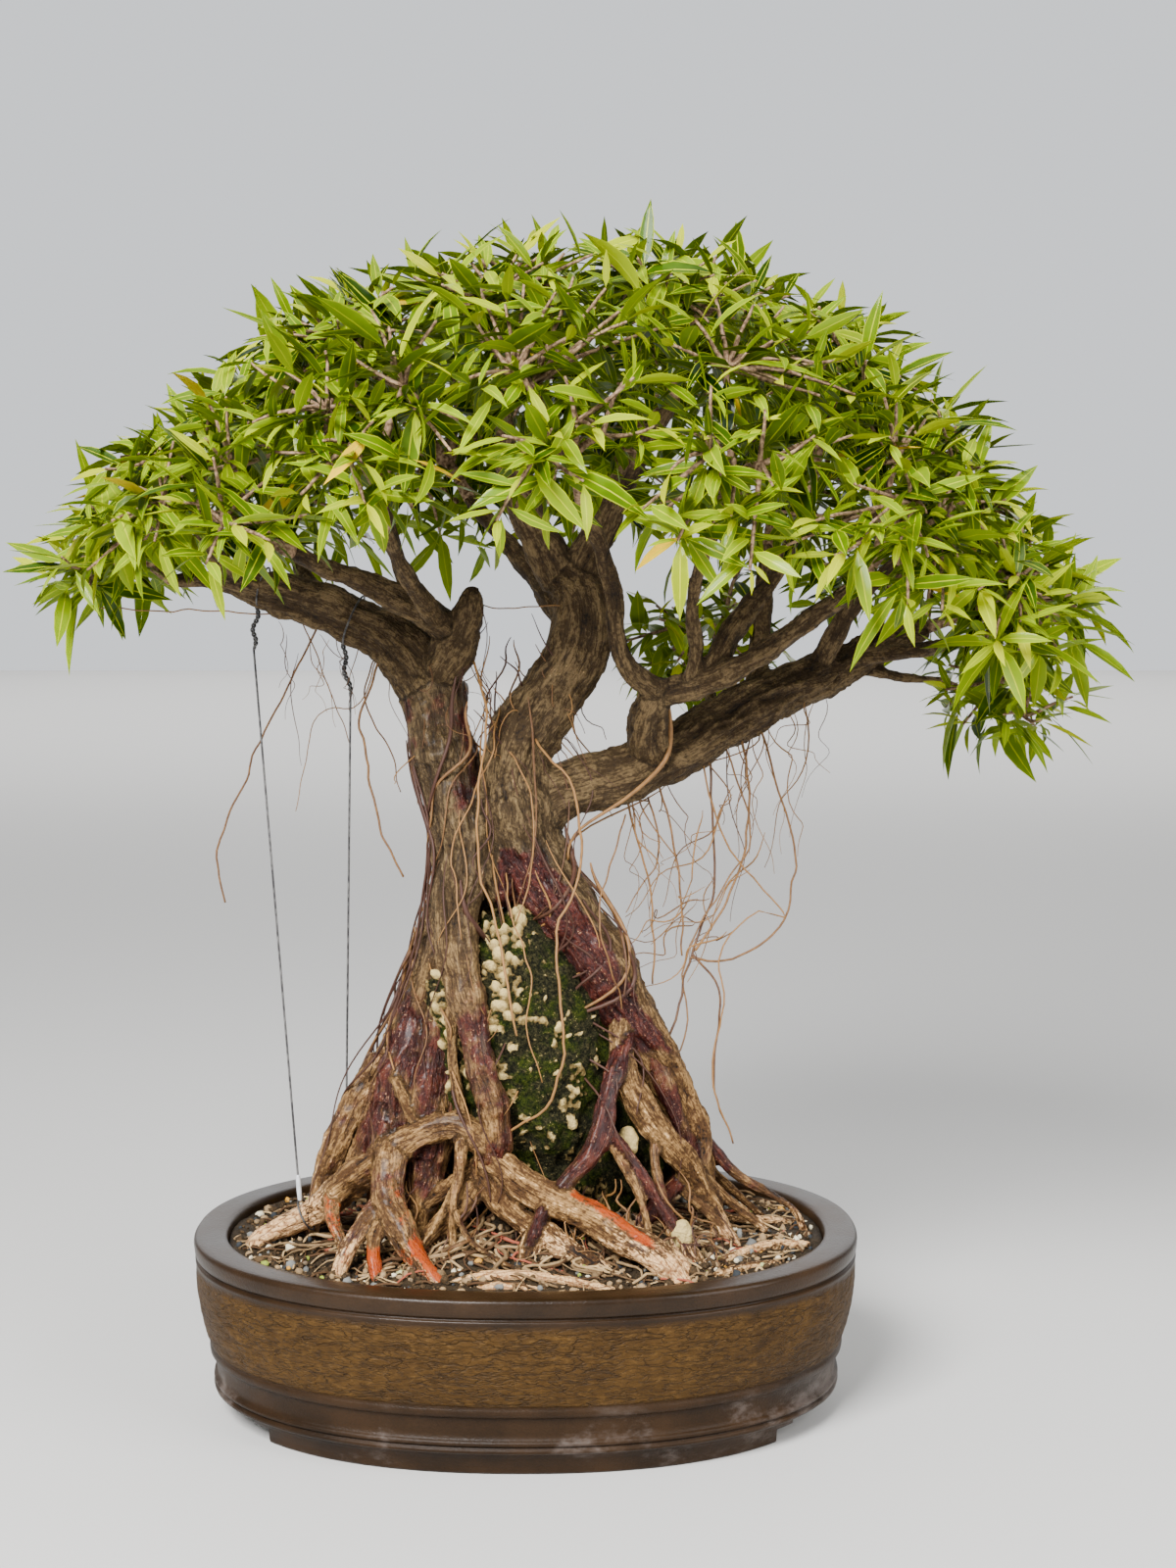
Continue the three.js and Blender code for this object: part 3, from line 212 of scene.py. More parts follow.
def piece_from(name, shape, smooth=True):
    """A mesh object from (vertices in mm, quads, triangles)."""
    vertices, quads, triangles = shape
    mesh = bpy.data.meshes.new(name)
    corners = np.concatenate([quads.ravel(), triangles.ravel()]).astype(np.int32)
    totals = np.concatenate([np.full(len(quads), 4), np.full(len(triangles), 3)]).astype(np.int32)
    mesh.vertices.add(len(vertices))
    mesh.vertices.foreach_set("co", in_frame(vertices).astype(np.float32).ravel())
    mesh.loops.add(len(corners))
    mesh.loops.foreach_set("vertex_index", corners)
    mesh.polygons.add(len(totals))
    mesh.polygons.foreach_set("loop_start", (np.cumsum(totals) - totals).astype(np.int32))
    mesh.update(calc_edges=True)
    mesh.validate()
    mesh.shade_smooth() if smooth else mesh.shade_flat()
    return riding(name, mesh)


def baked(piece):
    """A piece's mesh with its modifiers applied."""
    return bpy.data.meshes.new_from_object(piece.evaluated_get(bpy.context.evaluated_depsgraph_get()))


def give(piece, name, values, domain="POINT"):
    """Numbers or vectors kept on a piece's points or faces, for its material to read."""
    values = np.asarray(values, np.float32)
    kind, key = ("FLOAT", "value") if values.ndim == 1 else ("FLOAT_VECTOR", "vector")
    piece.data.attributes.new(name, kind, domain).data.foreach_set(key, values.ravel())


def lumps(points, size, seed):
    """Smooth random bumps from -1 to 1: random heights at the corners of a cube grid of that size,
    from the corner's numbers stirred by large primes, blended along each axis by 3 t^2 - 2 t^3."""
    cell = np.asarray(points, float) / size
    base = np.floor(cell).astype(np.int64)
    t = cell - base
    t = t * t * (3 - 2 * t)
    total = np.zeros(len(cell))
    for corner in np.ndindex(2, 2, 2):
        at = base + corner
        key = at[:, 0] * 73856093 ^ at[:, 1] * 19349663 ^ at[:, 2] * 83492791 ^ (seed * 2654435 + 97)
        key = (key ^ (key >> 13)) * 1274126177 & 0x7FFFFFFF
        key = (key ^ (key >> 15)) * 2246822519 & 0x7FFFFFFF
        weight = np.prod(np.where(corner, t, 1 - t), axis=1)
        total += weight * ((key & 0xFFFF) / 32767.5 - 1)
    return total


def step_up(values, low, high):
    """0 below low, 1 above high and 3 t^2 - 2 t^3 between."""
    t = np.clip((values - low) / (high - low), 0, 1)
    return t * t * (3 - 2 * t)


def wander(points, size, seed, apart):
    """Three lumps for each point, one for each axis, taken that many mm apart."""
    flat = points.reshape(-1, 3)
    moves = np.stack([lumps(flat + shift, size, seed) for shift in (0, apart, 2 * apart)], axis=1)
    return moves.reshape(points.shape)


def grown(stations, step=3.0):
    """A smooth run with the swellings of real wood: radius * (1 + 0.15 lumps), centre + 1.3 lumps."""
    run = smooth_run(stations, step)
    place = run[:, :3].copy()
    run[:, :3] += 1.3 * wander(place, 24.0, 7, 80)
    run[:, 3] *= 1 + 0.15 * lumps(place, 15.0, 6)
    return run


def fused(name, stems, voxel):
    """Stems grown together: tubes along every run, made one skin by voxels and then smoothed."""
    shapes = gather(tubes(grown(run)[None], sides=20, wave=0.06) for run in stems.values())
    raw = piece_from(name + "_raw", shapes)
    remesh = raw.modifiers.new("one_skin", "REMESH")
    remesh.mode = "VOXEL"
    remesh.voxel_size = voxel / 1000
    raw.modifiers.new("soften", "SMOOTH").iterations = 2
    skin = baked(raw)
    bpy.data.objects.remove(raw)
    skin.name = name
    skin.shade_smooth()
    return riding(name, skin)


def along_stems(points, stems):
    """For each point, the nearest stem's own space: (sideways, sideways, along) in mm, its radius
    there, and the stem's number. Nearest means least distance over radius."""
    apart, batch = 137.0, 20000
    rows = []
    for index, run in enumerate(stems.values()):
        run = grown(run, 4.0)
        steps = np.linalg.norm(np.diff(run[:, :3], axis=0), axis=1)
        travel = np.concatenate([[0], np.cumsum(steps)]) + apart * index
        frames = (part[0] for part in run_frames(run[None, :, :3]))
        rows.append((run[:, :3], run[:, 3], *frames, travel, np.full(len(run), index)))
    centres, radii, tangents, normals, sides, travel, number = (np.concatenate(part) for part in zip(*rows))
    nearest = np.empty(len(points), int)
    square = (centres ** 2).sum(1)
    for start in range(0, len(points), batch):
        some = points[start:start + batch]
        distance = (some ** 2).sum(1)[:, None] + square - 2 * some @ centres.T
        nearest[start:start + batch] = np.argmin(distance / radii ** 2, axis=1)
    away = points - centres[nearest]
    local = np.stack([(away * normals[nearest]).sum(1), (away * sides[nearest]).sum(1),
                      travel[nearest] + (away * tangents[nearest]).sum(1)], axis=1)
    return local, radii[nearest], number[nearest]


def points_of(piece):
    """A piece's points in mm about the pot's foot, and its point normals."""
    count = len(piece.data.vertices)
    points = np.empty(count * 3, np.float32)
    piece.data.vertices.foreach_get("co", points)
    normals = np.empty(count * 3, np.float32)
    piece.data.vertex_normals.foreach_get("vector", normals)
    return (points.reshape(-1, 3) - POT_FOOT) * 1000, normals.reshape(-1, 3)


def furrowed(piece, stems, depth, seed):
    """Bark relief: each point moves along its normal by long ridges, which are lumps stretched
    seven times along the stem and bent sideways, by knots 15 mm wide and by cross wrinkles."""
    points, normals = points_of(piece)
    local, radius, number = along_stems(points, stems)
    bend = [lumps(points, 13.0, seed + 4), lumps(points, 13.0, seed + 5), np.zeros(len(points))]
    long_way = (local + 2.6 * np.stack(bend, axis=1)) * (1, 1, 0.15)
    ridge = 1 - np.abs(lumps(long_way, 5.4, seed)) * 2.4
    fine = 1 - np.abs(lumps(long_way * (1, 1, 1.7), 2.7, seed + 1)) * 2.4
    knots = lumps(points, 15.0, seed + 2)
    wrinkle = lumps(local * (0.4, 0.4, 1), 4.0, seed + 3)
    relief = 0.60 * ridge + 0.34 * fine + 0.22 * wrinkle
    reach = depth * np.clip(radius / 12, 0.25, 1.0)
    moved = points + normals * (reach * relief + 0.11 * np.minimum(radius, 14) * knots)[:, None]
    piece.data.vertices.foreach_set("co", in_frame(moved).astype(np.float32).ravel())
    piece.data.update()
    give(piece, "grain", local)
    give(piece, "ridge", 0.5 + 0.5 * np.clip(relief, -1, 1))
    return points, normals, number


class Signal:
    """The output of a shader node. Arithmetic on it adds Math nodes."""

    def __init__(self, finish, socket):
        self.finish, self.socket = finish, socket

    def _math(self, operation, *values):
        return self.finish.node("ShaderNodeMath", {"operation": operation}, dict(enumerate(values)))

    def __add__(self, other):
        return self._math("ADD", self, other)

    def __sub__(self, other):
        return self._math("SUBTRACT", self, other)

    def __rsub__(self, other):
        return self._math("SUBTRACT", other, self)

    def __mul__(self, other):
        return self._math("MULTIPLY", self, other)

    def __abs__(self):
        return self._math("ABSOLUTE", self)

    __radd__ = __add__
    __rmul__ = __mul__

    def between(self, low, high):
        """0 below low, 1 above high and smooth between."""
        return self.finish.node("ShaderNodeMapRange", {"interpolation_type": "SMOOTHSTEP"},
                                {"Value": self, "From Min": low, "From Max": high})

    def axis(self, name):
        """The X, Y or Z of a vector."""
        return self.finish.node("ShaderNodeSeparateXYZ", None, {"Vector": self}, output=name)


class Finish:
    """A material in the making: a Principled shader whose plain values are set when it is made.
    A plain colour is (red, green, blue)."""

    def __init__(self, name, **plain):
        self.material = bpy.data.materials.new(name)
        self.material.use_nodes = True
        self.tree = self.material.node_tree
        self.shader = self.tree.nodes["Principled BSDF"]
        for socket, value in plain.items():
            self.feed(self.shader.inputs[socket.replace("_", " ")], value)

    def node(self, kind, settings=None, inputs=None, output=0):
        """Adds a node of that kind, makes its settings, feeds its inputs, and gives its output."""
        added = self.tree.nodes.new(kind)
        for key, value in (settings or {}).items():
            setattr(added, key, value)
        for key, value in (inputs or {}).items():
            self.feed(added.inputs[key], value)
        return Signal(self, added.outputs[output])

    def feed(self, socket, value):
        """Links a signal to a socket, or sets the socket's plain value."""
        if isinstance(value, Signal):
            self.tree.links.new(value.socket, socket)
        else:
            socket.default_value = (*value, 1.0) if socket.type == "RGBA" else value

    def attribute(self, name, output="Fac"):
        return self.node("ShaderNodeAttribute", {"attribute_name": name}, output=output)

    def place(self):
        return self.node("ShaderNodeTexCoord", output="Object")

    def stretch(self, vector, by):
        return self.node("ShaderNodeMapping", None, {"Vector": vector, "Scale": by})

    def noise(self, vector, scale, detail=3.0, rough=0.55):
        return self.node("ShaderNodeTexNoise", None,
                         {"Vector": vector, "Scale": scale, "Detail": detail, "Roughness": rough})

    def mix(self, first, second, share):
        """The colour that lies that share of the way from the first to the second."""
        return self.node("ShaderNodeMix", {"data_type": "RGBA"}, {0: share, 6: first, 7: second}, output=2)

    def coats(self, colour, *coats):
        """A colour with others laid over it in turn, each given as (colour, share)."""
        for coat, share in coats:
            colour = self.mix(colour, coat, share)
        return colour

    def finish(self, colour, roughness, height, bump, reach, coat=None):
        """Joins what varies to the shader: colour, roughness, coat, and a height through a bump."""
        self.feed(self.shader.inputs["Base Color"], colour)
        self.feed(self.shader.inputs["Roughness"], roughness)
        if coat is not None:
            self.feed(self.shader.inputs["Coat Weight"], coat)
        normal = self.node("ShaderNodeBump", None, {"Height": height, "Strength": bump, "Distance": reach})
        self.feed(self.shader.inputs["Normal"], normal)
        return self.material


bark = Finish("bark", Specular_IOR_Level=0.24, Coat_Roughness=0.24)
grain = bark.attribute("grain", "Vector")
where = bark.place()
ridge, red, orange, pale = (bark.attribute(name) for name in ("ridge", "red", "orange", "pale"))
fibre = bark.noise(bark.stretch(grain, (0.34, 0.34, 0.05)), 1.0, 5.0, 0.70)
strand = bark.noise(bark.stretch(grain, (1.1, 1.1, 0.13)), 1.0, 3.0, 0.62)
flake = bark.noise(where, 520.0, 3.0, 0.70)
blotch = bark.noise(where, 130.0, 3.0, 0.65)
patch = bark.noise(where, 36.0, 3.0, 0.6)
plates = bark.stretch(grain, (0.30, 0.30, 0.09))
scales = bark.node("ShaderNodeTexVoronoi", {"feature": "DISTANCE_TO_EDGE"},
                   {"Vector": plates, "Scale": 1.0, "Randomness": 1.0}, output="Distance")
seams = 1 - scales.between(0.0, 0.13)
height = ridge * 0.55 + fibre * 1.1 + strand * 0.8 + flake * 0.7 + blotch * 0.4 - seams * 0.15
crest = height - 1.24
low = 1 - where.axis("Z").between(0.15, 0.34)
# Wood: near black where the relief sinks, mid brown above and tan on the crests, warmer low down. Partly the
# bark's own colour, partly painted shade in the furrows and a painted highlight on the crests.
wood = bark.coats(
    (0.008, 0.004, 0.002),
    (bark.mix((0.036, 0.020, 0.0065), (0.075, 0.030, 0.007), low * 0.8), crest.between(0.08, 0.38)),
    (bark.mix((0.175, 0.115, 0.050), (0.42, 0.235, 0.082), low),
     (crest + patch * 0.3 - 0.15).between(0.42, 0.90) * 0.8))
# Wine skin: near black in the furrows, wine above them, a painted highlight on the crests, and pale flecks of
# flaking bark. The dark furrows are partly the skin's colour, partly painted shade.
skin = bark.coats(
    (0.003, 0.0003, 0.0004),
    ((0.021, 0.0007, 0.0011), (crest + patch * 0.5 - 0.25).between(0.02, 0.42)),
    ((0.080, 0.009, 0.006), (crest + blotch * 0.5 - 0.25).between(0.40, 0.82) * 0.8),
    ((0.55, 0.33, 0.20), (flake * 0.9 + strand * 0.5 - 0.7).between(0.12, 0.20) * 0.6))
cream = bark.coats(
    (0.38, 0.155, 0.050),
    ((0.94, 0.60, 0.28), (flake + strand * 0.5).between(0.5, 0.95)),
    ((0.13, 0.045, 0.018), seams * 0.7))
flame = bark.mix((0.14, 0.005, 0.0002), (0.38, 0.050, 0.0001),
                 (patch * 0.5 + crest * 0.9 + flake * 0.5 - 0.3).between(0.05, 0.75))
colour = bark.coats(
    wood,
    (skin, (red * 1.25 + patch * 2.4 + blotch * 1.2 - 2.50).between(0.0, 0.5) * 0.94),
    (cream, (pale * 1.1 + crest * 1.1 + patch * 1.1 - 1.88).between(0.0, 0.40)),
    (flame, (orange * 1.3 + blotch * 1.4 + flake * 0.6 - 1.84).between(0.0, 0.34) * 0.96))
wet = (red * 0.8 + orange * 0.8 + patch * 0.8 - 0.35).between(0.1, 0.9)
bark_finish = bark.finish(
    colour=colour, roughness=0.66 - 0.36 * wet + 0.16 * flake, height=height, bump=0.95, reach=0.0016,
    coat=wet * 0.14)

wood_stems = {**TRUNK, **LIMBS, "neck_web": [(-22, 0, 352, 20), (-18, -8, 326, 16), (-14, -12, 304, 9)]}
trunk = fused("trunk_and_limbs", wood_stems, voxel=1.95)
points, normals, number = furrowed(trunk, wood_stems, depth=2.3, seed=3)
x, y, z = points.T
left_column, middle_column, neck_web = (number == list(wood_stems).index(name)
                                        for name in ("left_column", "middle_column", "neck_web"))
drift = 9 * lumps(points, 16.0, 51) + 4 * lumps(points, 6.0, 52)
below = step_up(-(z + drift), -352, -326)
fading = step_up(z + drift, 196, 226)
right_ridge = step_up(x + 0.3 * drift - (221 - 0.62 * z), -4, 4)
wine = ((middle_column | neck_web) * step_up(x + 0.4 * drift, -20, -12) * below * fading
        * (1 - 0.85 * right_ridge))
lower_strand = 0.40 * step_up(-z, -268, -240) + 0.30 * step_up(-x, 44, 52)
# On the left column, wine skin is laid on the right side, away from the key light: partly the bark's wine
# colour, partly painted shade.
give(trunk, "red", 1.1 * wine + left_column * (
    lower_strand * below + 0.34 * step_up(x, -46, -34) + 0.40 * step_up(z, 344, 372)) + 0.10)
give(trunk, "orange", left_column * 0.45 * step_up(-z, -210, -160))
give(trunk, "pale", 0.14 * left_column * below + 0.18)
trunk.data.materials.append(bark_finish)
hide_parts("tree")

# ---- Roots ------------------------------------------------------------------------------------
# The skirt of roots that grips the rock and spreads over the soil: fused strands, dark red and wet
# on both flanks, flaming orange where they meet the soil in front, pale and flaky on the long ones.

ROOTS = {
    "left_flare": [(-46, -8, 310, 12), (-54, -1, 284, 10), (-60, 2, 257, 9), (-68, 5, 229, 9),
        (-82, 7, 205, 9.4), (-94, 7, 182, 9), (-105, 5, 160, 8.5), (-116, 2, 138, 7), (-124, 0, 116, 5.4),
        (-130, -2, 94, 4)],
    "left_flare_front": [(-55, -8, 268, 8), (-62, -17, 240, 8), (-72, -24, 212, 8), (-80, -31, 184, 7.7),
        (-86, -42, 156, 6.8)],
    "left_flare_inner": [(-55, -14, 258, 6), (-52, -28, 230, 8), (-55, -35, 206, 9.4), (-59, -41, 184, 10),
        (-60, -46, 164, 8)],
    "crossing_root": [(-18, -57, 166, 8), (-37, -55, 177, 7.2), (-54, -51, 175, 7.6), (-74, -47, 164, 8.5),
        (-91, -44, 151, 9.6), (-108, -36, 136, 9.6), (-122, -28, 122, 7.8), (-143, -27, 111, 6.8),
        (-158, -32, 104, 5.4), (-166, -35, 92, 3.8)],
    "crossing_stub": [(-112, -36, 136, 6.2), (-112, -48, 122, 4.8), (-107, -57, 110, 3.6),
        (-103, -62, 94, 3)],
    "fan_root": [(-78, -50, 160, 9.6), (-79, -66, 138, 8.9), (-72, -77, 125, 8.2), (-63, -88, 113, 7.2),
        (-50, -101, 101, 6), (-38, -108, 92, 4.4)],
    "fan_root_left": [(-81, -64, 138, 6.4), (-92, -75, 126, 5.5), (-101, -85, 113, 4.9),
        (-107, -94, 94, 4.2)],
    "fan_root_middle": [(-78, -70, 132, 4.8), (-85, -82, 119, 4.6), (-84, -93, 107, 4.3),
        (-80, -102, 94, 3.6)],
    "knee_left": [(-22, -54, 156, 7), (-40, -50, 144, 5.4), (-58, -46, 131, 4.6), (-72, -46, 116, 3.8),
        (-80, -46, 100, 3)],
    "knee_front_right": [(-20, -55, 160, 9.5), (0, -62, 146, 9.5), (24, -70, 135, 9.4), (45, -78, 126, 8.8),
        (65, -88, 116, 7.9), (84, -98, 104, 6.6), (96, -106, 92, 4.8)],
    "knee_front_twin": [(56, -78, 124, 5.4), (74, -82, 118, 4.3), (90, -88, 106, 3.9), (100, -94, 93, 3.2)],
    "under_knee": [(-24, -54, 150, 8.4), (-7, -64, 128, 7.2), (14, -72, 117, 6.6), (36, -84, 107, 5.5),
        (54, -96, 93, 3.6)],
    "under_knee_stump": [(8, -68, 119, 6.6), (2, -79, 108, 7), (0, -88, 94, 6.4)],
    "pale_root": [(58, -18, 234, 9), (58, -32, 210, 8), (69, -36, 184, 9), (85, -32, 162, 8.6),
        (98, -26, 146, 7), (112, -20, 122, 4.8), (122, -18, 96, 3.6)],
    "red_root": [(60, -26, 224, 6.5), (51, -46, 198, 6), (45, -56, 178, 6.4), (36, -63, 161, 5.4),
        (24, -68, 148, 4.2), (12, -74, 132, 3.4), (4, -80, 116, 3)],
    "red_root_right": [(46, -55, 178, 4.6), (64, -60, 155, 3.9), (76, -64, 138, 3.4), (90, -70, 118, 3),
        (100, -74, 96, 2.6)],
    "right_fork": [(103, -1, 160, 7), (99, -13, 143, 5.4), (86, -28, 133, 4.8), (74, -44, 122, 5),
        (62, -54, 104, 3.6)],
    "right_fork_front": [(80, -38, 128, 4.4), (86, -52, 114, 3.8), (91, -64, 96, 3)],
    "right_fork_side": [(92, -22, 135, 4), (106, -26, 122, 3.8), (120, -30, 106, 3.4), (130, -32, 92, 2.8)],
    "right_run": [(105, 2, 158, 5), (126, 0, 136, 3.4), (147, -2, 124, 3), (164, 0, 112, 2.6),
        (172, 2, 94, 2.4)],
    "back_root_left": [(-30, 0, 326, 15), (-33, 30, 290, 13), (-38, 47, 255, 10.5), (-44, 54, 215, 10),
        (-50, 60, 180, 9.4), (-60, 66, 150, 8.4), (-76, 76, 122, 6.8), (-92, 88, 94, 4.8)],
    "back_root_middle": [(4, 6, 324, 17), (8, 31, 290, 13.5), (12, 50, 250, 11), (10, 57, 210, 10.4),
        (6, 64, 172, 9.4), (4, 78, 140, 7.8), (8, 96, 114, 6.2), (14, 112, 92, 4.4)],
    "back_root_right": [(26, 4, 292, 14), (44, 26, 262, 11.5), (56, 40, 230, 10.4), (66, 49, 196, 9.4),
        (78, 56, 164, 8), (94, 66, 136, 6.6), (112, 78, 110, 5.2), (126, 88, 92, 3.8)],
    "back_flare_left": [(-50, 4, 292, 10.5), (-62, 24, 258, 9.2), (-74, 35, 222, 8.6), (-88, 43, 186, 8),
        (-104, 50, 150, 7), (-122, 60, 116, 5.2), (-134, 66, 94, 4)],
    "left_web": [(-46, -16, 300, 9), (-50, -22, 272, 8.6), (-60, -18, 240, 9), (-72, -14, 210, 10),
        (-84, -18, 180, 9.4), (-96, -20, 154, 8), (-106, -24, 128, 6)],
    "left_web_back": [(-48, 12, 300, 9), (-58, 18, 268, 9), (-70, 20, 236, 9), (-84, 22, 204, 9),
        (-98, 26, 172, 8.4), (-114, 30, 140, 7), (-128, 36, 108, 5)],
    "left_bulge": [(-52, -4, 286, 8), (-58, -8, 254, 10), (-66, -16, 226, 13), (-72, -22, 198, 16),
        (-77, -27, 170, 15), (-82, -32, 142, 11), (-88, -34, 112, 7)],
    "left_outer": [(-88, 0, 206, 8), (-101, -4, 184, 9.4), (-112, -8, 160, 8.6), (-120, -12, 138, 7.4),
        (-127, -16, 114, 5.2), (-130, -18, 96, 4)],
    "left_fill": [(-48, -12, 236, 8), (-50, -24, 214, 11), (-52, -32, 190, 12), (-56, -36, 162, 12),
        (-60, -40, 136, 10), (-64, -44, 106, 7)],
    "left_wrap": [(-84, -4, 222, 3), (-78, -30, 206, 3.4), (-70, -45, 192, 3.2), (-62, -52, 176, 2.8)],
    "left_cord": [(-44, -30, 262, 3.4), (-42, -44, 232, 3.6), (-40, -50, 206, 3.4), (-36, -54, 182, 3.4)],
    "left_tap": [(-37, -60, 170, 4.2), (-38, -64, 152, 3.6), (-41, -70, 134, 2.8), (-42, -74, 106, 2.4)],
    "left_tap_side": [(-41, -66, 144, 2), (-52, -74, 124, 1.9), (-64, -82, 106, 1.6)],
    "left_tap_front": [(-41, -70, 134, 2), (-30, -82, 118, 1.9), (-10, -92, 108, 1.8), (12, -98, 104, 1.4)],
    "left_low": [(-20, -52, 150, 7), (-38, -58, 130, 6.6), (-54, -64, 116, 5.4), (-64, -70, 100, 4)],
    "right_web": [(64, 6, 222, 13), (72, 8, 198, 13), (80, 10, 172, 13), (90, 14, 146, 11), (104, 20, 118, 7),
        (116, 26, 98, 5)],
    "right_edge": [(80, -4, 216, 6), (91, -5, 196, 5.6), (101, -6, 176, 5), (107, -8, 158, 4.6),
        (106, -12, 140, 4.4), (110, -16, 122, 4.4), (117, -22, 104, 3.6)],
    "right_purple": [(76, -14, 214, 6.5), (84, -16, 194, 6), (91, -16, 172, 5), (98, -14, 152, 4.4),
        (106, -16, 132, 4.6), (112, -22, 114, 4), (120, -26, 98, 3)],
    "right_low": [(96, -18, 150, 4), (112, -16, 134, 3.4), (128, -14, 118, 3), (146, -16, 104, 2.4)],
    "right_low_back": [(100, 0, 150, 4), (116, 10, 132, 3.6), (134, 18, 114, 3), (150, 24, 100, 2.4)],
    "under_rock": [(46, -52, 176, 5), (34, -54, 158, 4.4), (24, -56, 140, 4), (20, -60, 120, 3.4)],
    "red_side": [(46, -55, 176, 3.6), (58, -62, 156, 3), (68, -68, 138, 2.6), (74, -74, 118, 2.2)],
    "red_net": [(78, -34, 172, 4), (76, -46, 152, 3.4), (82, -58, 132, 3), (94, -66, 114, 2.6),
        (104, -72, 100, 2)],
    "surface_front": [(-46, -106, 99, 2.2), (-14, -106, 104, 3), (14, -108, 104, 2.8), (38, -113, 102, 2.8),
        (58, -118, 98, 2.2)],
    "surface_front_low": [(-30, -116, 98, 3.4), (-12, -118, 99, 4.6), (6, -118, 98, 4.2),
        (22, -116, 97, 2.4)],
    "surface_right": [(170, -30, 100, 2.6), (146, -40, 103, 3), (124, -56, 102, 2.8), (104, -78, 99, 2.4),
        (92, -96, 97, 2)],
    "surface_right_front": [(150, -62, 99, 2.2), (130, -74, 101, 2.6), (106, -92, 99, 2.2),
        (84, -110, 97, 2)],
    "surface_right_back": [(168, 20, 100, 2.2), (146, 12, 104, 2.8), (126, 2, 108, 3), (108, -8, 118, 3)],
}
roots = fused("roots", ROOTS, voxel=1.84)
points, normals, number = furrowed(roots, ROOTS, depth=2.2, seed=31)


def on_roots(values):
    """A number for each point from a number for each named root, 0 where a root has none."""
    return np.array([values.get(name, 0.0) for name in ROOTS])[number]


x, y, z = points.T
low_down = step_up(-z, -132, -100)
near_soil = step_up(-z, -124, -112)
lit_side = step_up(normals @ unit(np.array([0.45, -0.35, 0.8])), 0.55, 0.95)
give(roots, "red", 0.22 + on_roots({
    "left_flare": 0.44, "left_flare_front": 0.60, "left_flare_inner": 0.66, "left_web": 0.56,
    "left_bulge": 0.66, "left_outer": 0.36, "left_fill": 0.54, "left_web_back": 0.3, "red_root": 0.85,
    "red_root_right": 0.65, "right_fork": 0.9, "right_fork_front": 0.7, "right_run": 0.65,
    "right_fork_side": 0.3, "back_root_left": 0.3, "back_root_middle": 0.25, "back_root_right": 0.5,
    "back_flare_left": 0.4, "fan_root": 0.42, "fan_root_left": 0.6, "right_web": 0.5, "right_edge": 0.15,
    "right_purple": 0.75, "right_low": 0.3, "red_net": 0.5, "under_rock": 0.5, "red_side": 0.35,
    "crossing_root": 0.2, "left_tap": 0.2}) * (1 - 0.35 * low_down) * (1 - 0.5 * step_up(z, 236, 262)))
give(roots, "orange", (
    on_roots({"fan_root": 0.70, "fan_root_left": 0.55, "fan_root_middle": 1.05}) * near_soil
    + on_roots({"fan_root": 0.62, "fan_root_left": 0.45}) * lit_side
    + on_roots({"knee_front_right": 0.95}) * lit_side * step_up(x, 14, 34) * step_up(-x, -84, -70)
    + on_roots({"crossing_stub": 0.7, "crossing_root": 0.25, "red_root": 0.1, "right_fork_front": 0.2})))
give(roots, "pale", 0.23 + 0.54 * low_down + on_roots({
    "pale_root": 0.22, "knee_front_right": 0.18, "knee_front_twin": 0.4, "under_knee": 0.3,
    "fan_root_left": 0.3, "fan_root": 0.15, "under_knee_stump": 0.15, "surface_front": 0.4,
    "surface_front_low": 0.7, "surface_right": 0.25, "left_flare": 0.15, "left_outer": 0.2})
     + on_roots({"crossing_root": 0.55}) * step_up(-x, 98, 132)
     + on_roots({"knee_front_right": 0.26}) * step_up(x, 40, 80))
roots.data.materials.append(bark_finish)
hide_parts("tree")

# ---- Aerial roots -----------------------------------------------------------------------------
# Thread roots that hang from the limbs and run down the neck: 1 to 2 mm thick, tan to red-brown,
# grown from the wood and free at the lower end or rooted in it.

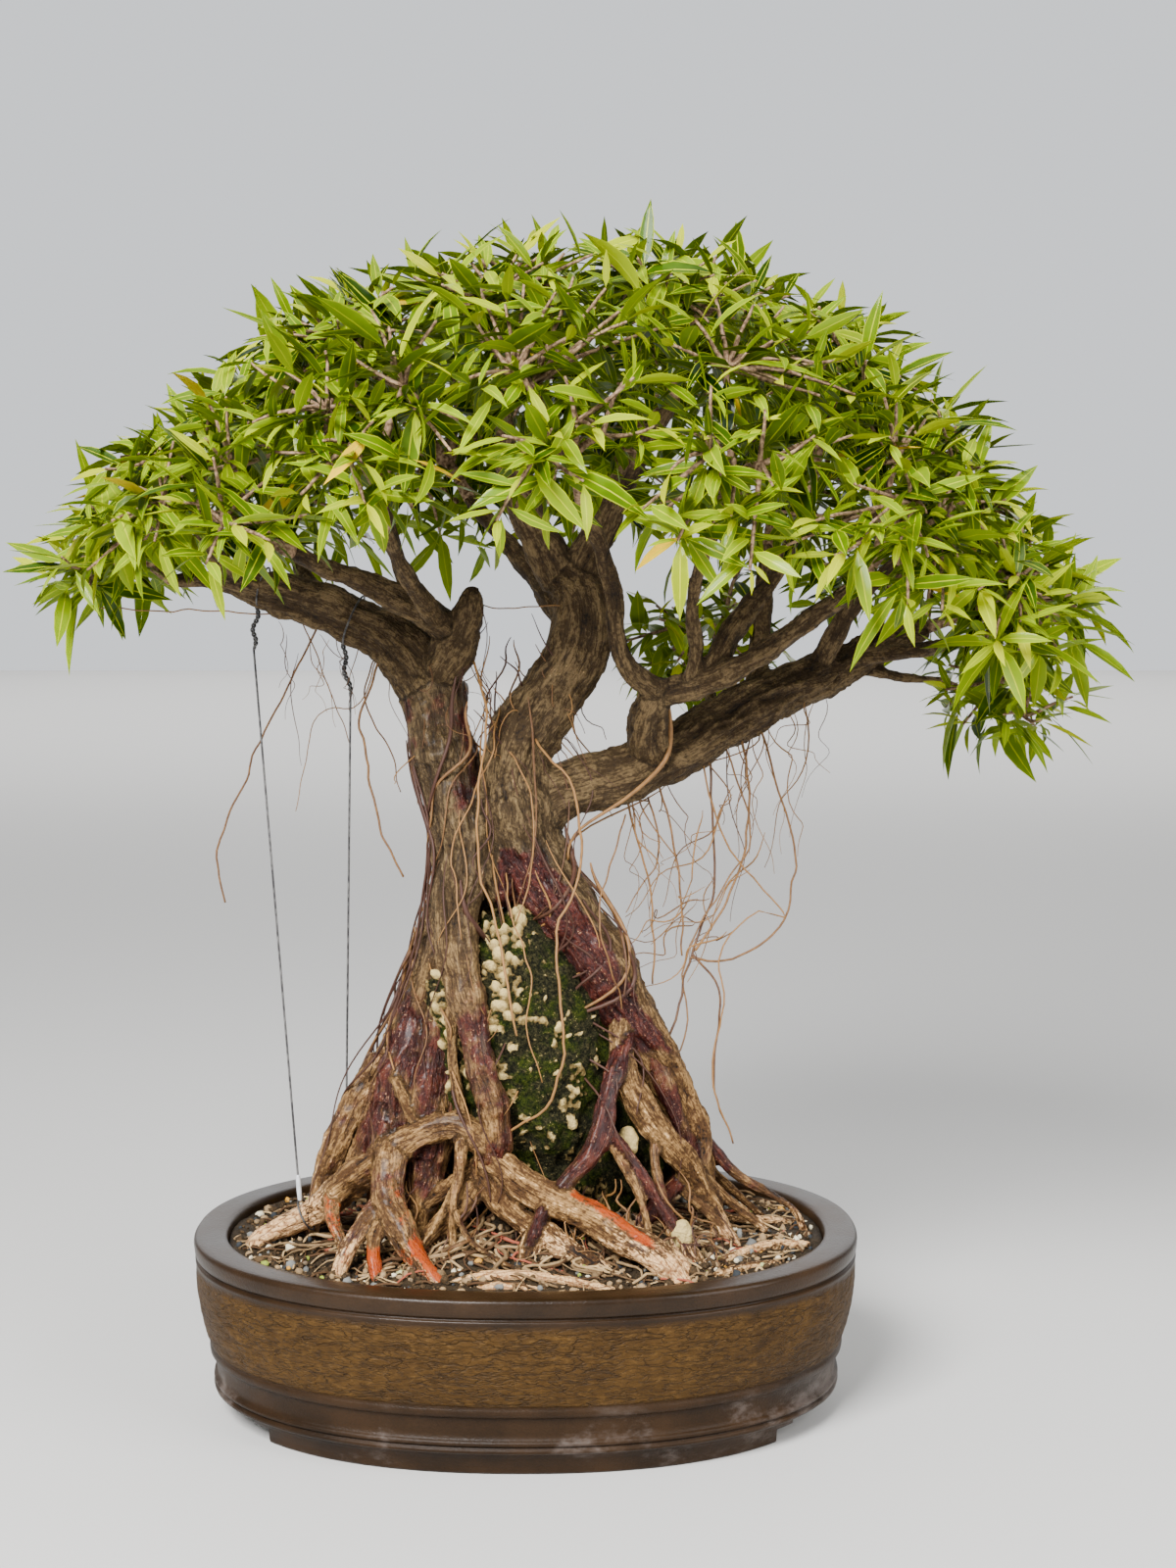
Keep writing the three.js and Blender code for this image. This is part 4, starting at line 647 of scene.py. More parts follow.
AERIAL_ROOTS = {
    "pale_front": [(-2, -10, 408, 1.6), (14, -28, 392, 1.5), (28, -34, 374, 1.5), (33, -38, 345, 1.5),
        (30, -40, 316, 1.5), (20, -48, 296, 1.6), (20, -58, 268, 1.6), (24, -64, 232, 1.6),
        (16, -66, 196, 1.6), (-10, -60, 174, 1.6)],
    "neck_front": [(-34, -4, 454, 1.4), (-22, -22, 418, 1.4), (-25, -33, 382, 1.4), (-27, -37, 350, 1.4),
        (-24, -40, 318, 1.4), (-14, -50, 288, 1.4), (-8, -60, 258, 1.4), (-4, -63, 232, 1.2)],
    "limb_drop_near": [(60, 14, 368, 1.6), (68, 14, 335, 1.4), (75, 12, 306, 1.3), (78, 10, 276, 1.3),
        (77, 7, 250, 1.2)],
    "limb_drop_second": [(80, 22, 374, 1.5), (90, 18, 328, 1.4), (95, 14, 292, 1.3), (95, 11, 268, 1.2)],
    "limb_drop_third": [(112, 40, 394, 1.6), (114, 31, 344, 1.4), (114, 24, 302, 1.4), (101, 14, 268, 1.4),
        (92, 6, 236, 1.4), (83, -4, 204, 1.6)],
    "limb_drop_fourth": [(132, 50, 404, 1.6), (137, 39, 356, 1.4), (131, 32, 320, 1.4), (116, 22, 286, 1.4),
        (103, 15, 270, 1.6)],
    "limb_drop_outer": [(143, 54, 410, 1.6), (156, 44, 364, 1.4), (165, 38, 332, 1.4), (160, 31, 292, 1.4),
        (140, 23, 270, 1.4), (118, 17, 264, 1.4), (100, 13, 266, 1.6)],
    "limb_drop_low": [(101, 14, 268, 1.6), (118, 10, 244, 1.4), (114, 4, 206, 1.4), (116, 1, 180, 1.3),
        (126, -2, 154, 1.2)],
    "left_drop": [(-84, 16, 458, 1.6), (-92, 8, 434, 1.4), (-99, 3, 410, 1.4), (-94, 0, 380, 1.4),
        (-86, -4, 345, 1.3), (-74, -8, 318, 1.2)],
    "left_drop_long": [(-124, 24, 472, 1.4), (-137, 30, 444, 1.3), (-157, 34, 410, 1.3), (-171, 36, 378, 1.3),
        (-190, 38, 334, 1.3), (-191, 38, 316, 1.2), (-186, 38, 296, 1.2)],
    "neck_middle": [(-14, -18, 400, 1), (-3, -26, 384, 1), (5, -38, 365, 1), (6, -42, 342, 1),
        (2, -44, 316, 1), (-4, -48, 297, 0.8)],
    "neck_left": [(-16, -8, 420, 1), (-20, -26, 390, 1), (-37, -30, 353, 1), (-42, -36, 331, 0.9),
        (-38, -42, 308, 0.9), (-36, -50, 286, 0.8)],
    "drop_cross": [(74, 18, 364, 1.2), (80, 14, 330, 1.1), (68, 8, 309, 0.8), (60, 2, 296, 0.6)],
    "drop_loop": [(107, 34, 384, 1.1), (122, 26, 335, 1.1), (157, 20, 290, 0.9), (139, 18, 293, 0.9),
        (118, 14, 267, 1), (121, 8, 240, 1), (113, 4, 206, 1), (116, 0, 180, 1), (126, -2, 154, 0.8)],
    "drop_far": [(121, 40, 394, 1.1), (138, 34, 340, 1.1), (122, 24, 311, 1), (97, 12, 264, 1),
        (96, 4, 218, 1), (79, -6, 193, 0.9), (68, -20, 182, 0.8)],
    "left_curl": [(-88, 22, 456, 1), (-98, 24, 423, 1), (-82, 20, 390, 0.9), (-76, 18, 366, 0.6)],
    "left_faint": [(-88, 20, 454, 0.9), (-101, 26, 420, 0.8), (-127, 30, 413, 0.7), (-138, 32, 376, 0.6),
        (-143, 32, 354, 0.5)],
    "left_faint_near": [(-140, 26, 478, 0.9), (-126, 28, 446, 0.8), (-118, 30, 420, 0.7),
        (-108, 30, 396, 0.6)],
    "high_line": [(-262, 40, 478, 0.8), (-214, 36, 476, 0.8), (-166, 30, 474, 0.8), (-140, 26, 474, 0.8)],
    "fork_line": [(-28, -8, 480, 0.7), (-6, -6, 478, 0.7), (16, 2, 479, 0.7), (34, 14, 478, 0.7)],
    "right_thread": [(60, 6, 354, 1), (52, -18, 330, 1), (44, -34, 300, 1), (50, -38, 270, 1),
        (58, -32, 244, 0.8)],
    "rock_thread": [(-12, -20, 330, 0.9), (-8, -40, 300, 0.9), (4, -58, 270, 0.9), (2, -64, 236, 0.8),
        (10, -64, 206, 0.7)],
}
random = np.random.default_rng(17)


def hanging(start, end, count, slack, wobble):
    """Runs from start to end (runs, 3) that bow by slack and wander: straight line + sag + noise."""
    t = np.linspace(0, 1, count)[None, :, None]
    line = start[:, None] * (1 - t) + end[:, None] * t
    bow = unit(random.normal(size=(len(start), 1, 3)) * (1, 1, 0.2)) * slack * np.sin(np.pi * t)
    phase = random.uniform(0, 6.3, (len(start), 1, 3))
    waves = wobble * np.sin(t * random.uniform(5, 14, (len(start), 1, 3)) + phase) * np.sin(np.pi * t)
    return line + bow + waves


def threads(runs, radius):
    """Runs (runs, points, 3) with a radius for each, which shrinks to a third of it at both ends."""
    share = np.linspace(1, 0.35, runs.shape[1]) * np.minimum(1, 0.35 + 0.65 * np.arange(runs.shape[1]) / 4)
    return np.concatenate([runs, (radius[:, None] * share)[..., None]], axis=2)


def drawn(stations, count=40):
    """A set thread root as even points at half its set radius, with kinks of up to 1.6 mm. One that
    begins on the front of the wood starts 12 mm deeper, inside it."""
    run = smooth_run(stations, 2.0)
    even = run[np.linspace(0, len(run) - 1, count).astype(int)]
    even[:, :3] += 1.6 * wander(even[:, :3], 11.0, 5, 70)
    even[:, 1] += (stations[0][1] < 0) * 12 * np.clip(1 - np.arange(count) / 8, 0, 1) ** 2
    even[:, 3] *= 0.52
    return even


def between(count, low, high):
    """Random places in a box from one corner to the other."""
    return random.uniform(low, high, (count, 3))


def hung(start, low, high, slack, wobble, thick, count=20, level=None):
    """Threads from each start by a random way out of a box from low to high, and down to a level if
    one is given, with random radii between the two in thick."""
    end = start + between(len(start), low, high)
    if level is not None:
        end[:, 2] = level
    return threads(hanging(start, end, count, slack, wobble), random.uniform(*thick, len(start)))


set_threads = np.stack([drawn(run) for run in AERIAL_ROOTS.values()])
net = hung(between(56, (-54, -14, 380), (22, 22, 490)), (-30, -24, -92), (46, 10, -22),
           6.0, 4.0, (0.35, 0.75))
under_limb = between(24, (52, -8, 0), (190, 8, 1))
under_limb[:, 1] += np.interp(under_limb[:, 0], (55, 120, 190), (14, 46, 76))
under_limb[:, 2] = np.interp(under_limb[:, 0], (55, 120, 190), (364, 396, 432))
under = hung(under_limb, (-34, -30, -120), (34, 6, -26), 9.0, 5.0, (0.32, 0.62))
tangle = hung(between(15, (96, 10, 272), (170, 44, 372)), (-72, -20, -96), (-8, 4, -20),
              10.0, 5.0, (0.35, 0.7))
left_few = hung(between(16, (-150, 16, 440), (-60, 34, 478)), (-16, -8, -70), (20, 8, -16),
                6.0, 3.0, (0.3, 0.5))
rootlets = hung(between(70, (-92, -74, 110), (112, -44, 150)), (-34, -30, 0), (34, 2, 0),
                7.0, 4.0, (0.45, 1.1), count=16, level=101)


def laid_on(pieces, turn, level, lift):
    """Runs that cling to the wood: from each turn and level (runs, points) a ray goes level towards
    the middle, and the run lies where it first meets a piece. Along a run, the reach takes the
    greatest of its neighbours twice and their mean seven times."""
    outside, inside = 260, 30.0
    trees = [BVHTree.FromObject(piece, bpy.context.evaluated_depsgraph_get()) for piece in pieces]
    out = np.stack([np.cos(turn), np.sin(turn), np.zeros_like(turn)], axis=-1)
    heart = np.stack([np.interp(level, (100, 340, 440), (-4, -14, -28)),
                      np.interp(level, (100, 440), (-4, 4)), level], axis=-1)
    reach = np.zeros_like(turn)
    for spot in np.ndindex(turn.shape):
        begin = in_frame(heart[spot] + outside * out[spot])
        hits = [tree.ray_cast(begin, -out[spot])[3] for tree in trees]
        reach[spot] = max((outside - 1000 * hit for hit in hits if hit is not None), default=inside)
    for step in range(9):
        wide = np.concatenate([reach[:, :1], reach, reach[:, -1:]], axis=1)
        beside = wide[:, :-2], wide[:, 1:-1], wide[:, 2:]
        reach = np.maximum.reduce(beside) if step < 2 else sum(beside) / 3
    return heart + (reach + lift)[..., None] * out


CLINGING = 84
t = np.linspace(0, 1, 26)
high = random.triangular(220, 340, 456, (CLINGING, 1))
level = high + (np.maximum(high - random.uniform(60, 160, (CLINGING, 1)), 106) - high) * t
swing = random.uniform(0, 6.3, (CLINGING, 1))
turn = swing + random.normal(0, 0.55, (CLINGING, 1)) * t
turn = turn + 0.12 * np.sin(t * random.uniform(4, 12, (CLINGING, 1)) + swing)
size = random.gamma(3.0, 0.24, CLINGING) + 0.35
clinging = threads(laid_on([trunk, roots], turn, level, 0.3), np.minimum(size, 2.0))


def tones(runs, shape, low=0):
    """One random number from low to 1 for each run, given to all the points of its tube."""
    return np.repeat(random.uniform(low, 1, len(runs)), len(shape[0]) // len(runs))


thread_runs = [set_threads, net, under, tangle, left_few, clinging, rootlets]
thread_shapes = [tubes(runs, sides) for runs, sides in zip(thread_runs, (6, 4, 4, 4, 4, 6, 5))]
darkest = (0.25, -0.3, 0.2, 0.4, 0.2, -0.9, 0.0)
aerial = piece_from("aerial_roots", gather(thread_shapes))
give(aerial, "tone", np.concatenate([tones(*group) for group in zip(thread_runs, thread_shapes, darkest)]))
thread = Finish("thread_root", Specular_IOR_Level=0.45)
tone = thread.attribute("tone")
spots = thread.noise(thread.place(), 260.0, 2.0)
lighter = (tone * 0.8 + spots * 0.6 - 0.25).between(0.05, 0.85)
colour = thread.mix((0.045, 0.013, 0.005), (0.27, 0.130, 0.034), lighter)
aerial.data.materials.append(thread.finish(colour=colour, roughness=0.5 + 0.2 * spots,
                                           height=spots, bump=0.4, reach=0.0006))
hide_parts("tree")

# ---- Rock -------------------------------------------------------------------------------------
# One upright lump of porous stone, dark with moss, with crusts of cream nodules. It stands in the
# soil and the roots grip it. Levels: (z, centre x, centre y, half width, half depth).

ROCK_LEVELS = np.array([
    (104, 12, 8, 54, 40), (138, 9, 4, 62, 45), (176, 3, 0, 63, 51), (210, -2, -1, 62, 53),
    (242, -5, -1, 56, 48), (272, -9, -5, 38, 36), (298, -12, -10, 15, 17)], float)

# A low lump and two cream stones between the right roots: (centre, half size, crust, knob)
# The knob height also sets how far painted shade darkens their cream.
OUTCROPS = (
    ((64, 4, 142), (22, 26, 34), 0.0, 0.5),
    ((61, -38, 164), (7, 6, 8.5), 0.9, 0.9),
    ((92, -68, 117), (6.5, 6, 8), 0.9, 0.9),
)


def knobs(points, size, seed):
    """Round knobs: 1 - (distance / reach)^2 to the nearest of one random point per cell of a cube
    grid of that size, 0 beyond the reach, which differs from knob to knob."""
    cell = np.floor(points / size).astype(np.int64)
    best = np.zeros(len(points))
    for corner in np.ndindex(3, 3, 3):
        at = cell + corner - 1.0
        centre = np.stack([lumps(at, 1.0, seed + axis) for axis in range(3)], axis=1) * 0.4 + 0.5
        reach = 0.62 + 0.22 * lumps(at, 1.0, seed + 3)
        square = (((at + centre) - points / size) ** 2).sum(1)
        best = np.maximum(best, 1 - square / reach ** 2)
    return best


def circle(count, radius=1.0):
    """Even points on a circle: radius * (cos a, sin a)."""
    angle = np.linspace(0, 2 * np.pi, count, endpoint=False)
    return radius * np.stack([np.cos(angle), np.sin(angle)], axis=1)


rows, around = 136, 210
v = np.linspace(0, 1, rows)
z = ROCK_LEVELS[0, 0] + (ROCK_LEVELS[-1, 0] - ROCK_LEVELS[0, 0]) * np.sin(v * np.pi / 2) ** 0.9
levels = np.column_stack([np.interp(z, ROCK_LEVELS[:, 0], ROCK_LEVELS[:, k]) for k in range(1, 5)])
levels[:, 2:] *= np.sqrt(np.clip(1 - v ** 14, 0, 1))[:, None]
flat = levels[:, None, :2] + levels[:, None, 2:] * circle(around)
body = np.concatenate([flat, np.broadcast_to(z[:, None, None], (rows, around, 1))], axis=2).reshape(-1, 3)
away = unit(body - (-2, -2, 200))
body += away * 13 * np.exp(-((body - (-46, -24, 248)) ** 2).sum(1) / 17 ** 2)[:, None]
edge_left = step_up(-body[:, 0], -4, 10) * step_up(body[:, 2], 176, 206)
crust = step_up(0.8 * lumps(body, 15.0, 8) + 0.6 * lumps(body, 7.0, 9) + 0.66 * edge_left
                + 0.25 * step_up(-body[:, 2], -230, -180), 0.50, 0.72)
crust = np.maximum(crust, 0.9 * step_up(lumps(body, 4.4, 15), 0.54, 0.66))
big, small = knobs(body, 7.0, 70), knobs(body, 4.2, 80)
knob = np.maximum(big, small * 0.62)
body = body + away * (3.0 * lumps(body, 21.0, 12) + 2.0 * lumps(body, 8.0, 13) + 1.1 * lumps(body, 3.4, 14)
                      + crust * (6.6 * knob - 1.4) + (1 - crust) * 0.9 * small - 1.0)[:, None]
poles = np.array([(6, 8, 100), (-12, -10, 299)], float)
shapes = [(np.vstack([body, poles]), *ring_faces(rows, around))]
crusts, heights = [crust * step_up(knob, 0.28, 0.54), [0, 0]], [knob, [0.5, 0.5]]

rows, around = 30, 48
level = np.repeat(np.linspace(-1.5, 1.5, rows), around)
ball = np.column_stack([np.cos(level)[:, None] * np.tile(circle(around), (rows, 1)), np.sin(level)])
ball = np.vstack([ball, [(0, 0, -1), (0, 0, 1)]])
for centre, half, crusted, height in OUTCROPS:
    knotty = 1 + 0.20 * lumps(ball * half, 7.0, 16) + 0.12 * lumps(ball * half, 3.0, 17)
    shapes.append((centre + ball * half * knotty[:, None], *ring_faces(rows, around)))
    crusts.append(np.full(len(ball), crusted))
    heights.append(np.full(len(ball), height))
rock = piece_from("rock_body", gather(shapes))
give(rock, "crust", np.concatenate(crusts))
# The knob height is kept for the stone's colour, which paints shade low on the knobs.
give(rock, "knob", np.concatenate(heights))

stone = Finish("mossy_stone", Specular_IOR_Level=0.1)
crust_share = stone.attribute("crust")
rise = stone.attribute("knob")
grit = stone.noise(stone.place(), 420.0, 3.0, 0.6)
moss = stone.noise(stone.place(), 70.0, 3.0, 0.6)
sponge = stone.noise(stone.place(), 1100.0, 2.0, 0.6)
green = stone.mix((0.003, 0.007, 0.0005), (0.037, 0.047, 0.003),
                  (grit * 0.6 + sponge * 0.5 - 0.05).between(0.35, 0.7))
# Cream crust: dark tan low on the knobs and cream on their tops, a painted shade between the nodules.
cream = stone.mix((0.12, 0.078, 0.025), (0.60, 0.45, 0.18),
                  (rise * 1.6 + grit * 1.1 - 1.15).between(0.0, 0.85))
colour = stone.coats(
    (0.003, 0.0035, 0.001),
    ((0.042, 0.037, 0.015), (grit * 0.7 + sponge * 0.5 - 0.1).between(0.38, 0.72)),
    (green, moss.between(0.46, 0.62)),
    (cream, (crust_share + grit * 0.8 + sponge * 0.3 - 0.55).between(0.30, 0.58)),
    (cream, (sponge + grit * 0.8).between(1.08, 1.18) * 0.55))
rock.data.materials.append(stone.finish(colour=colour, roughness=0.72 + 0.2 * grit,
                                        height=grit + moss * 0.5 + sponge * 0.5, bump=1.0, reach=0.0018))
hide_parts("rock")

# ---- Soil -------------------------------------------------------------------------------------
# Damp gritty soil that fills the pot and mounds up under the rock, with loose grains of pumice and
# grey stone, bits of old leaf and fine dry roots lying on it.

SOIL_HALF = (179.0, 131.0)
OVAL_POWER = 2.2
SOIL_FOOT = 66.0


def oval(half_length, half_width, turn):
    """The pot's oval, a superellipse of power 2.2: half size * sign(c) |c|^(2/2.2), and the same with s."""
    c, s = np.cos(turn), np.sin(turn)
    power = 2 / OVAL_POWER
    return half_length * np.sign(c) * np.abs(c) ** power, half_width * np.sign(s) * np.abs(s) ** power


def soil_height(x, y):
    """The ground: a flat bed at 99 mm, a bell-shaped mound 32 mm high, and small lumps."""
    flat = np.stack([x, y, np.zeros_like(x)], axis=-1).reshape(-1, 3)
    rough = 2.2 * lumps(flat, 19.0, 21) + 1.2 * lumps(flat, 7.0, 22) + 0.6 * lumps(flat, 3.0, 23)
    edge = np.abs(x / SOIL_HALF[0]) ** OVAL_POWER + np.abs(y / SOIL_HALF[1]) ** OVAL_POWER
    settle = 1 - 0.6 * step_up(edge, 0.86, 1.0)
    return 99 + 32 * np.exp(-(x ** 2 + y ** 2) / 75 ** 2) + rough.reshape(x.shape) * settle


rows, around = 70, 170
turn = np.linspace(0, 2 * np.pi, around, endpoint=False)
share = np.concatenate([[0.55, 0.99], np.linspace(1, 0.012, rows - 2)])
x, y = oval(SOIL_HALF[0] * share[:, None], SOIL_HALF[1] * share[:, None], turn)
ground = soil_height(x, y)
ground[:2] = SOIL_FOOT
bed = np.stack([x, y, ground], axis=-1).reshape(-1, 3)
bed = np.vstack([bed, (0, 0, SOIL_FOOT), (0, 0, ground[-1].mean())])
soil = piece_from("soil_bed", (bed, *ring_faces(rows, around)))
earth = Finish("damp_soil", Specular_IOR_Level=0.2)
fine = earth.noise(earth.place(), 900.0, 3.0, 0.65)
broad = earth.noise(earth.place(), 120.0)
colour = earth.mix((0.006, 0.004, 0.002), (0.050, 0.032, 0.015),
                   (fine * 0.7 + broad * 0.5).between(0.35, 0.8))
soil.data.materials.append(earth.finish(colour=colour, roughness=0.85 - 0.2 * broad,
                                        height=fine, bump=0.9, reach=0.0016))
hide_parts("soil")


def scattered(count):
    """Random places on the ground inside the pot's oval: (x, y) with the square root of an even
    random share as their reach."""
    reach = np.sqrt(random.uniform(0, 1, count)) * 0.975
    turn = random.uniform(0, 2 * np.pi, count)
    return oval(SOIL_HALF[0] * reach, SOIL_HALF[1] * reach, turn)


# An icosahedron: its corners, and each three of them that lie next to each other
golden = (1 + 5 ** 0.5) / 2
signs = [(s, t * golden) for s in (-1, 1) for t in (-1, 1)]
ball = unit(np.array([(s, 0, t) for s, t in signs] + [(0, t, s) for s, t in signs]
                     + [(t, s, 0) for s, t in signs], float))
beside = np.linalg.norm(ball[:, None] - ball, axis=2) < 1.2
ball_faces = np.array([(a, b, c) for a in range(12) for b in range(a) for c in range(b)
                       if beside[a, b] and beside[b, c] and beside[a, c]])
turned_in = np.linalg.det(ball[ball_faces]) < 0
ball_faces[turned_in] = ball_faces[turned_in, ::-1]

GRAINS = 4000
x, y = scattered(GRAINS)
size = random.gamma(5.0, 0.34, GRAINS)
shape = ball * random.uniform(0.55, 1.2, (GRAINS, 1, 3)) * random.uniform(0.82, 1.18, (GRAINS, len(ball), 1))
swing = random.uniform(0, 2 * np.pi, GRAINS)
c, s = np.cos(swing)[:, None], np.sin(swing)[:, None]
x_side, y_side, height = np.moveaxis(shape, -1, 0)
turned = np.stack([x_side * c - y_side * s, x_side * s + y_side * c, height], axis=-1)
centre = np.stack([x, y, soil_height(x, y) + 0.3 * size], axis=-1)
grains = piece_from("soil_grains", ((centre[:, None] + turned * size[:, None, None]).reshape(-1, 3),
                                    *copies(np.zeros((0, 4), int), ball_faces, GRAINS, len(ball))))
give(grains, "tone", np.repeat(random.uniform(0, 1, GRAINS), len(ball)))
gravel = Finish("grit", Specular_IOR_Level=0.2)
tone = gravel.attribute("tone")
speck = gravel.noise(gravel.place(), 700.0, 2.0)
colour = gravel.coats(
    (0.014, 0.009, 0.004),
    ((0.085, 0.050, 0.022), (speck + tone * 0.5).between(0.4, 0.9)),
    (gravel.mix((0.16, 0.10, 0.05), (0.42, 0.28, 0.14), speck), tone.between(0.56, 0.58)),
    ((0.030, 0.034, 0.038), tone.between(0.76, 0.78)),
    ((0.17, 0.17, 0.155), tone.between(0.84, 0.85)),
    (gravel.mix((0.52, 0.43, 0.26), (0.90, 0.82, 0.62), speck), tone.between(0.90, 0.905)),
    ((0.26, 0.32, 0.04), tone.between(0.965, 0.97)),
    ((0.55, 0.26, 0.03), tone.between(0.987, 0.99)))
grains.data.materials.append(gravel.finish(colour=colour, roughness=0.75 + 0.2 * speck,
                                           height=speck, bump=0.6, reach=0.0008))
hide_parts("soil")

LITTER = 480
x, y = scattered(LITTER)
heading = random.uniform(0, 2 * np.pi, LITTER)
length = random.uniform(5, 26, LITTER)
t = np.linspace(-0.5, 0.5, 5)
bend = random.normal(0, 1.6, LITTER)[:, None] * (1 - 4 * t ** 2)
px = x[:, None] + np.cos(heading)[:, None] * length[:, None] * t - np.sin(heading)[:, None] * bend
py = y[:, None] + np.sin(heading)[:, None] * length[:, None] * t + np.cos(heading)[:, None] * bend
inside = (np.abs(px / 176) ** OVAL_POWER + np.abs(py / 128) ** OVAL_POWER).max(axis=1) < 1
px, py = px[inside], py[inside]
thick = random.uniform(0.35, 0.95, len(px))
pz = soil_height(px, py) + 1.2 + random.uniform(0, 2.5, (len(px), 1)) * (1 - 4 * t ** 2)
litter_runs = np.stack([px, py, pz, np.broadcast_to(thick[:, None], px.shape)], axis=-1)

FEEDERS = 210
swing = random.uniform(0, 2 * np.pi, FEEDERS)
start = random.uniform(0.28, 0.62, FEEDERS)
reach = np.minimum(start + random.uniform(0.15, 0.42, FEEDERS), 0.97)
t = np.linspace(0, 1, 16)
path_share = start[:, None] * (1 - t) + reach[:, None] * t
path_turn = swing[:, None] + random.normal(0, 0.22, FEEDERS)[:, None] * t
path_turn = path_turn + 0.06 * np.sin(9 * t + swing[:, None])
px, py = oval(SOIL_HALF[0] * path_share, SOIL_HALF[1] * path_share, path_turn)
pz = soil_height(px, py) + 1.0 + 4.5 * np.sin(np.pi * t) * random.uniform(0, 1, (FEEDERS, 1))
thick = random.uniform(0.6, 1.9, (FEEDERS, 1)) * (1 - 0.6 * t)
feeder_runs = np.stack([px, py, pz, thick], axis=-1)
dead_leaves, feeders = tubes(litter_runs, 4), tubes(feeder_runs, 5)
litter = piece_from("litter", gather([dead_leaves, feeders]))
give(litter, "tone", np.concatenate([tones(litter_runs, dead_leaves), tones(feeder_runs, feeders)]))
straw = Finish("dry_root", Specular_IOR_Level=0.2)
tone = straw.attribute("tone")
speck = straw.noise(straw.place(), 300.0)
colour = straw.coats(
    (0.070, 0.034, 0.014),
    ((0.50, 0.335, 0.160), (tone * 0.9 + speck * 0.5 - 0.2).between(0.2, 1.0)),
    ((0.30, 0.075, 0.04), tone.between(0.93, 0.95)))
litter.data.materials.append(straw.finish(colour=colour, roughness=0.65 + 0.2 * speck,
                                          height=speck, bump=0.5, reach=0.0006))
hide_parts("soil")

# ---- Pot --------------------------------------------------------------------------------------
# Oval pot of dark unglazed stoneware, press-moulded: smooth lip, a body band with fine crackled
# relief, a plain belt between two ridges, and long foot brackets in front and behind.

POT_HALF = (200.0, 152.0)
LIP_PROFILE = [
    (1.3, 86), (1.4, 90.2), (1.0, 90.7), (0.9, 92.0), (1.5, 92.6), (2.8, 93.0), (2.8, 93.8), (1.5, 94.5),
    (0.8, 95.4), (0.4, 98), (0.1, 101.4), (0.4, 103.4), (1.2, 104.5), (2.6, 104.95), (6, 105), (11, 105),
    (16, 104.9), (18.6, 104.5), (19.7, 103.6), (20.1, 102.2), (20.6, 97), (21.6, 70), (23, 26), (26, 22.5),
    (32, 22.5), (32, 14.2)]
BELT_PROFILE = [
    (15.5, 14.0), (12.2, 14.3), (11.3, 15.0), (11.0, 16.2), (11.5, 17.2), (12.8, 17.7), (12.8, 18.4),
    (11.5, 18.9), (11.0, 19.8), (11.2, 21.0), (12.2, 21.8), (13.1, 22.4), (12.9, 26), (12.4, 30),
    (12.0, 34.2), (11.4, 35.2), (9.8, 35.8), (9.0, 36.8), (8.7, 38.6), (8.8, 40.4), (9.6, 41.4), (9.2, 42.2)]
BODY_CURVE = np.array([(9.2, 42.2), (7.0, 48), (5.2, 55), (3.4, 63), (2.2, 71), (1.5, 79), (1.3, 86)])
body_z = np.linspace(42.2, 86, 48)[1:-1]
body_profile = np.column_stack([np.interp(body_z, BODY_CURVE[:, 1], BODY_CURVE[:, 0]), body_z])
profile = np.vstack([BELT_PROFILE, body_profile, LIP_PROFILE])

rows, around = len(profile), 420
turn = np.linspace(0, 2 * np.pi, around, endpoint=False)
x, y = oval(POT_HALF[0] - profile[:, :1], POT_HALF[1] - profile[:, :1], turn)
wall = np.stack([x, y, np.broadcast_to(profile[:, 1:], x.shape)], axis=-1)
outer = np.repeat(np.arange(rows) < len(BELT_PROFILE) + len(body_profile) + 2, around)
around_wall = np.broadcast_to(circle(around, 220), (rows, around, 2))
cells = np.concatenate([around_wall, wall[..., 2:]], axis=2).reshape(-1, 3)
cells[:, 2] += 1.6 * lumps(cells * (1, 1, 0), 15.0, 45) + 0.8 * lumps(cells * (1, 1, 0), 6.0, 46)
crackle = (1 - 2.6 * np.abs(lumps(cells * (1, 1, 4.2), 21.0, 41))) * 0.5
crackle += ((1 - 2.6 * np.abs(lumps(cells * (1, 1, 3.6), 10.0, 42))) * 0.5
            + 0.25 * lumps(cells * (1, 1, 2.0), 4.0, 43))
height = wall[..., 2].ravel()
on_body = step_up(height, 41.6, 43) * (1 - step_up(height, 88.5, 90.2)) * outer
press = 0.36 * crackle * on_body + 0.12 * lumps(cells, 30.0, 44) * outer
outward = unit(wall.reshape(-1, 3) * (1 / POT_HALF[0] ** 2, 1 / POT_HALF[1] ** 2, 0))
wall = wall.reshape(-1, 3) + outward * press[:, None]
# The last ring joins the first, so that the wall is closed without ends
wall_quads = ring_faces(rows + 1, around)[0] % len(wall)
pot = piece_from("pot_wall", (wall, wall_quads, np.zeros((0, 3), int)))
give(pot, "body", on_body)
give(pot, "crackle", crackle)

clay = Finish("dark_stoneware", Specular_IOR_Level=0.15, Coat_Roughness=0.14)
body_share = clay.attribute("body")
relief = clay.attribute("crackle")
where = clay.place()
mottle = clay.noise(where, 26.0)
pore = clay.noise(where, 900.0, 2.0)
wavy = clay.stretch(where, (1, 1, 4.0))
flat_grain = clay.noise(clay.stretch(where, (1, 1, 1.9)), 210.0, 4.0, 0.65)


def cracks(scale, width):
    """Fine lines where a level-stretched noise crosses its middle value."""
    return 1 - abs(clay.noise(wavy, scale, 2.0, 0.5) - 0.5).between(0.0, width)


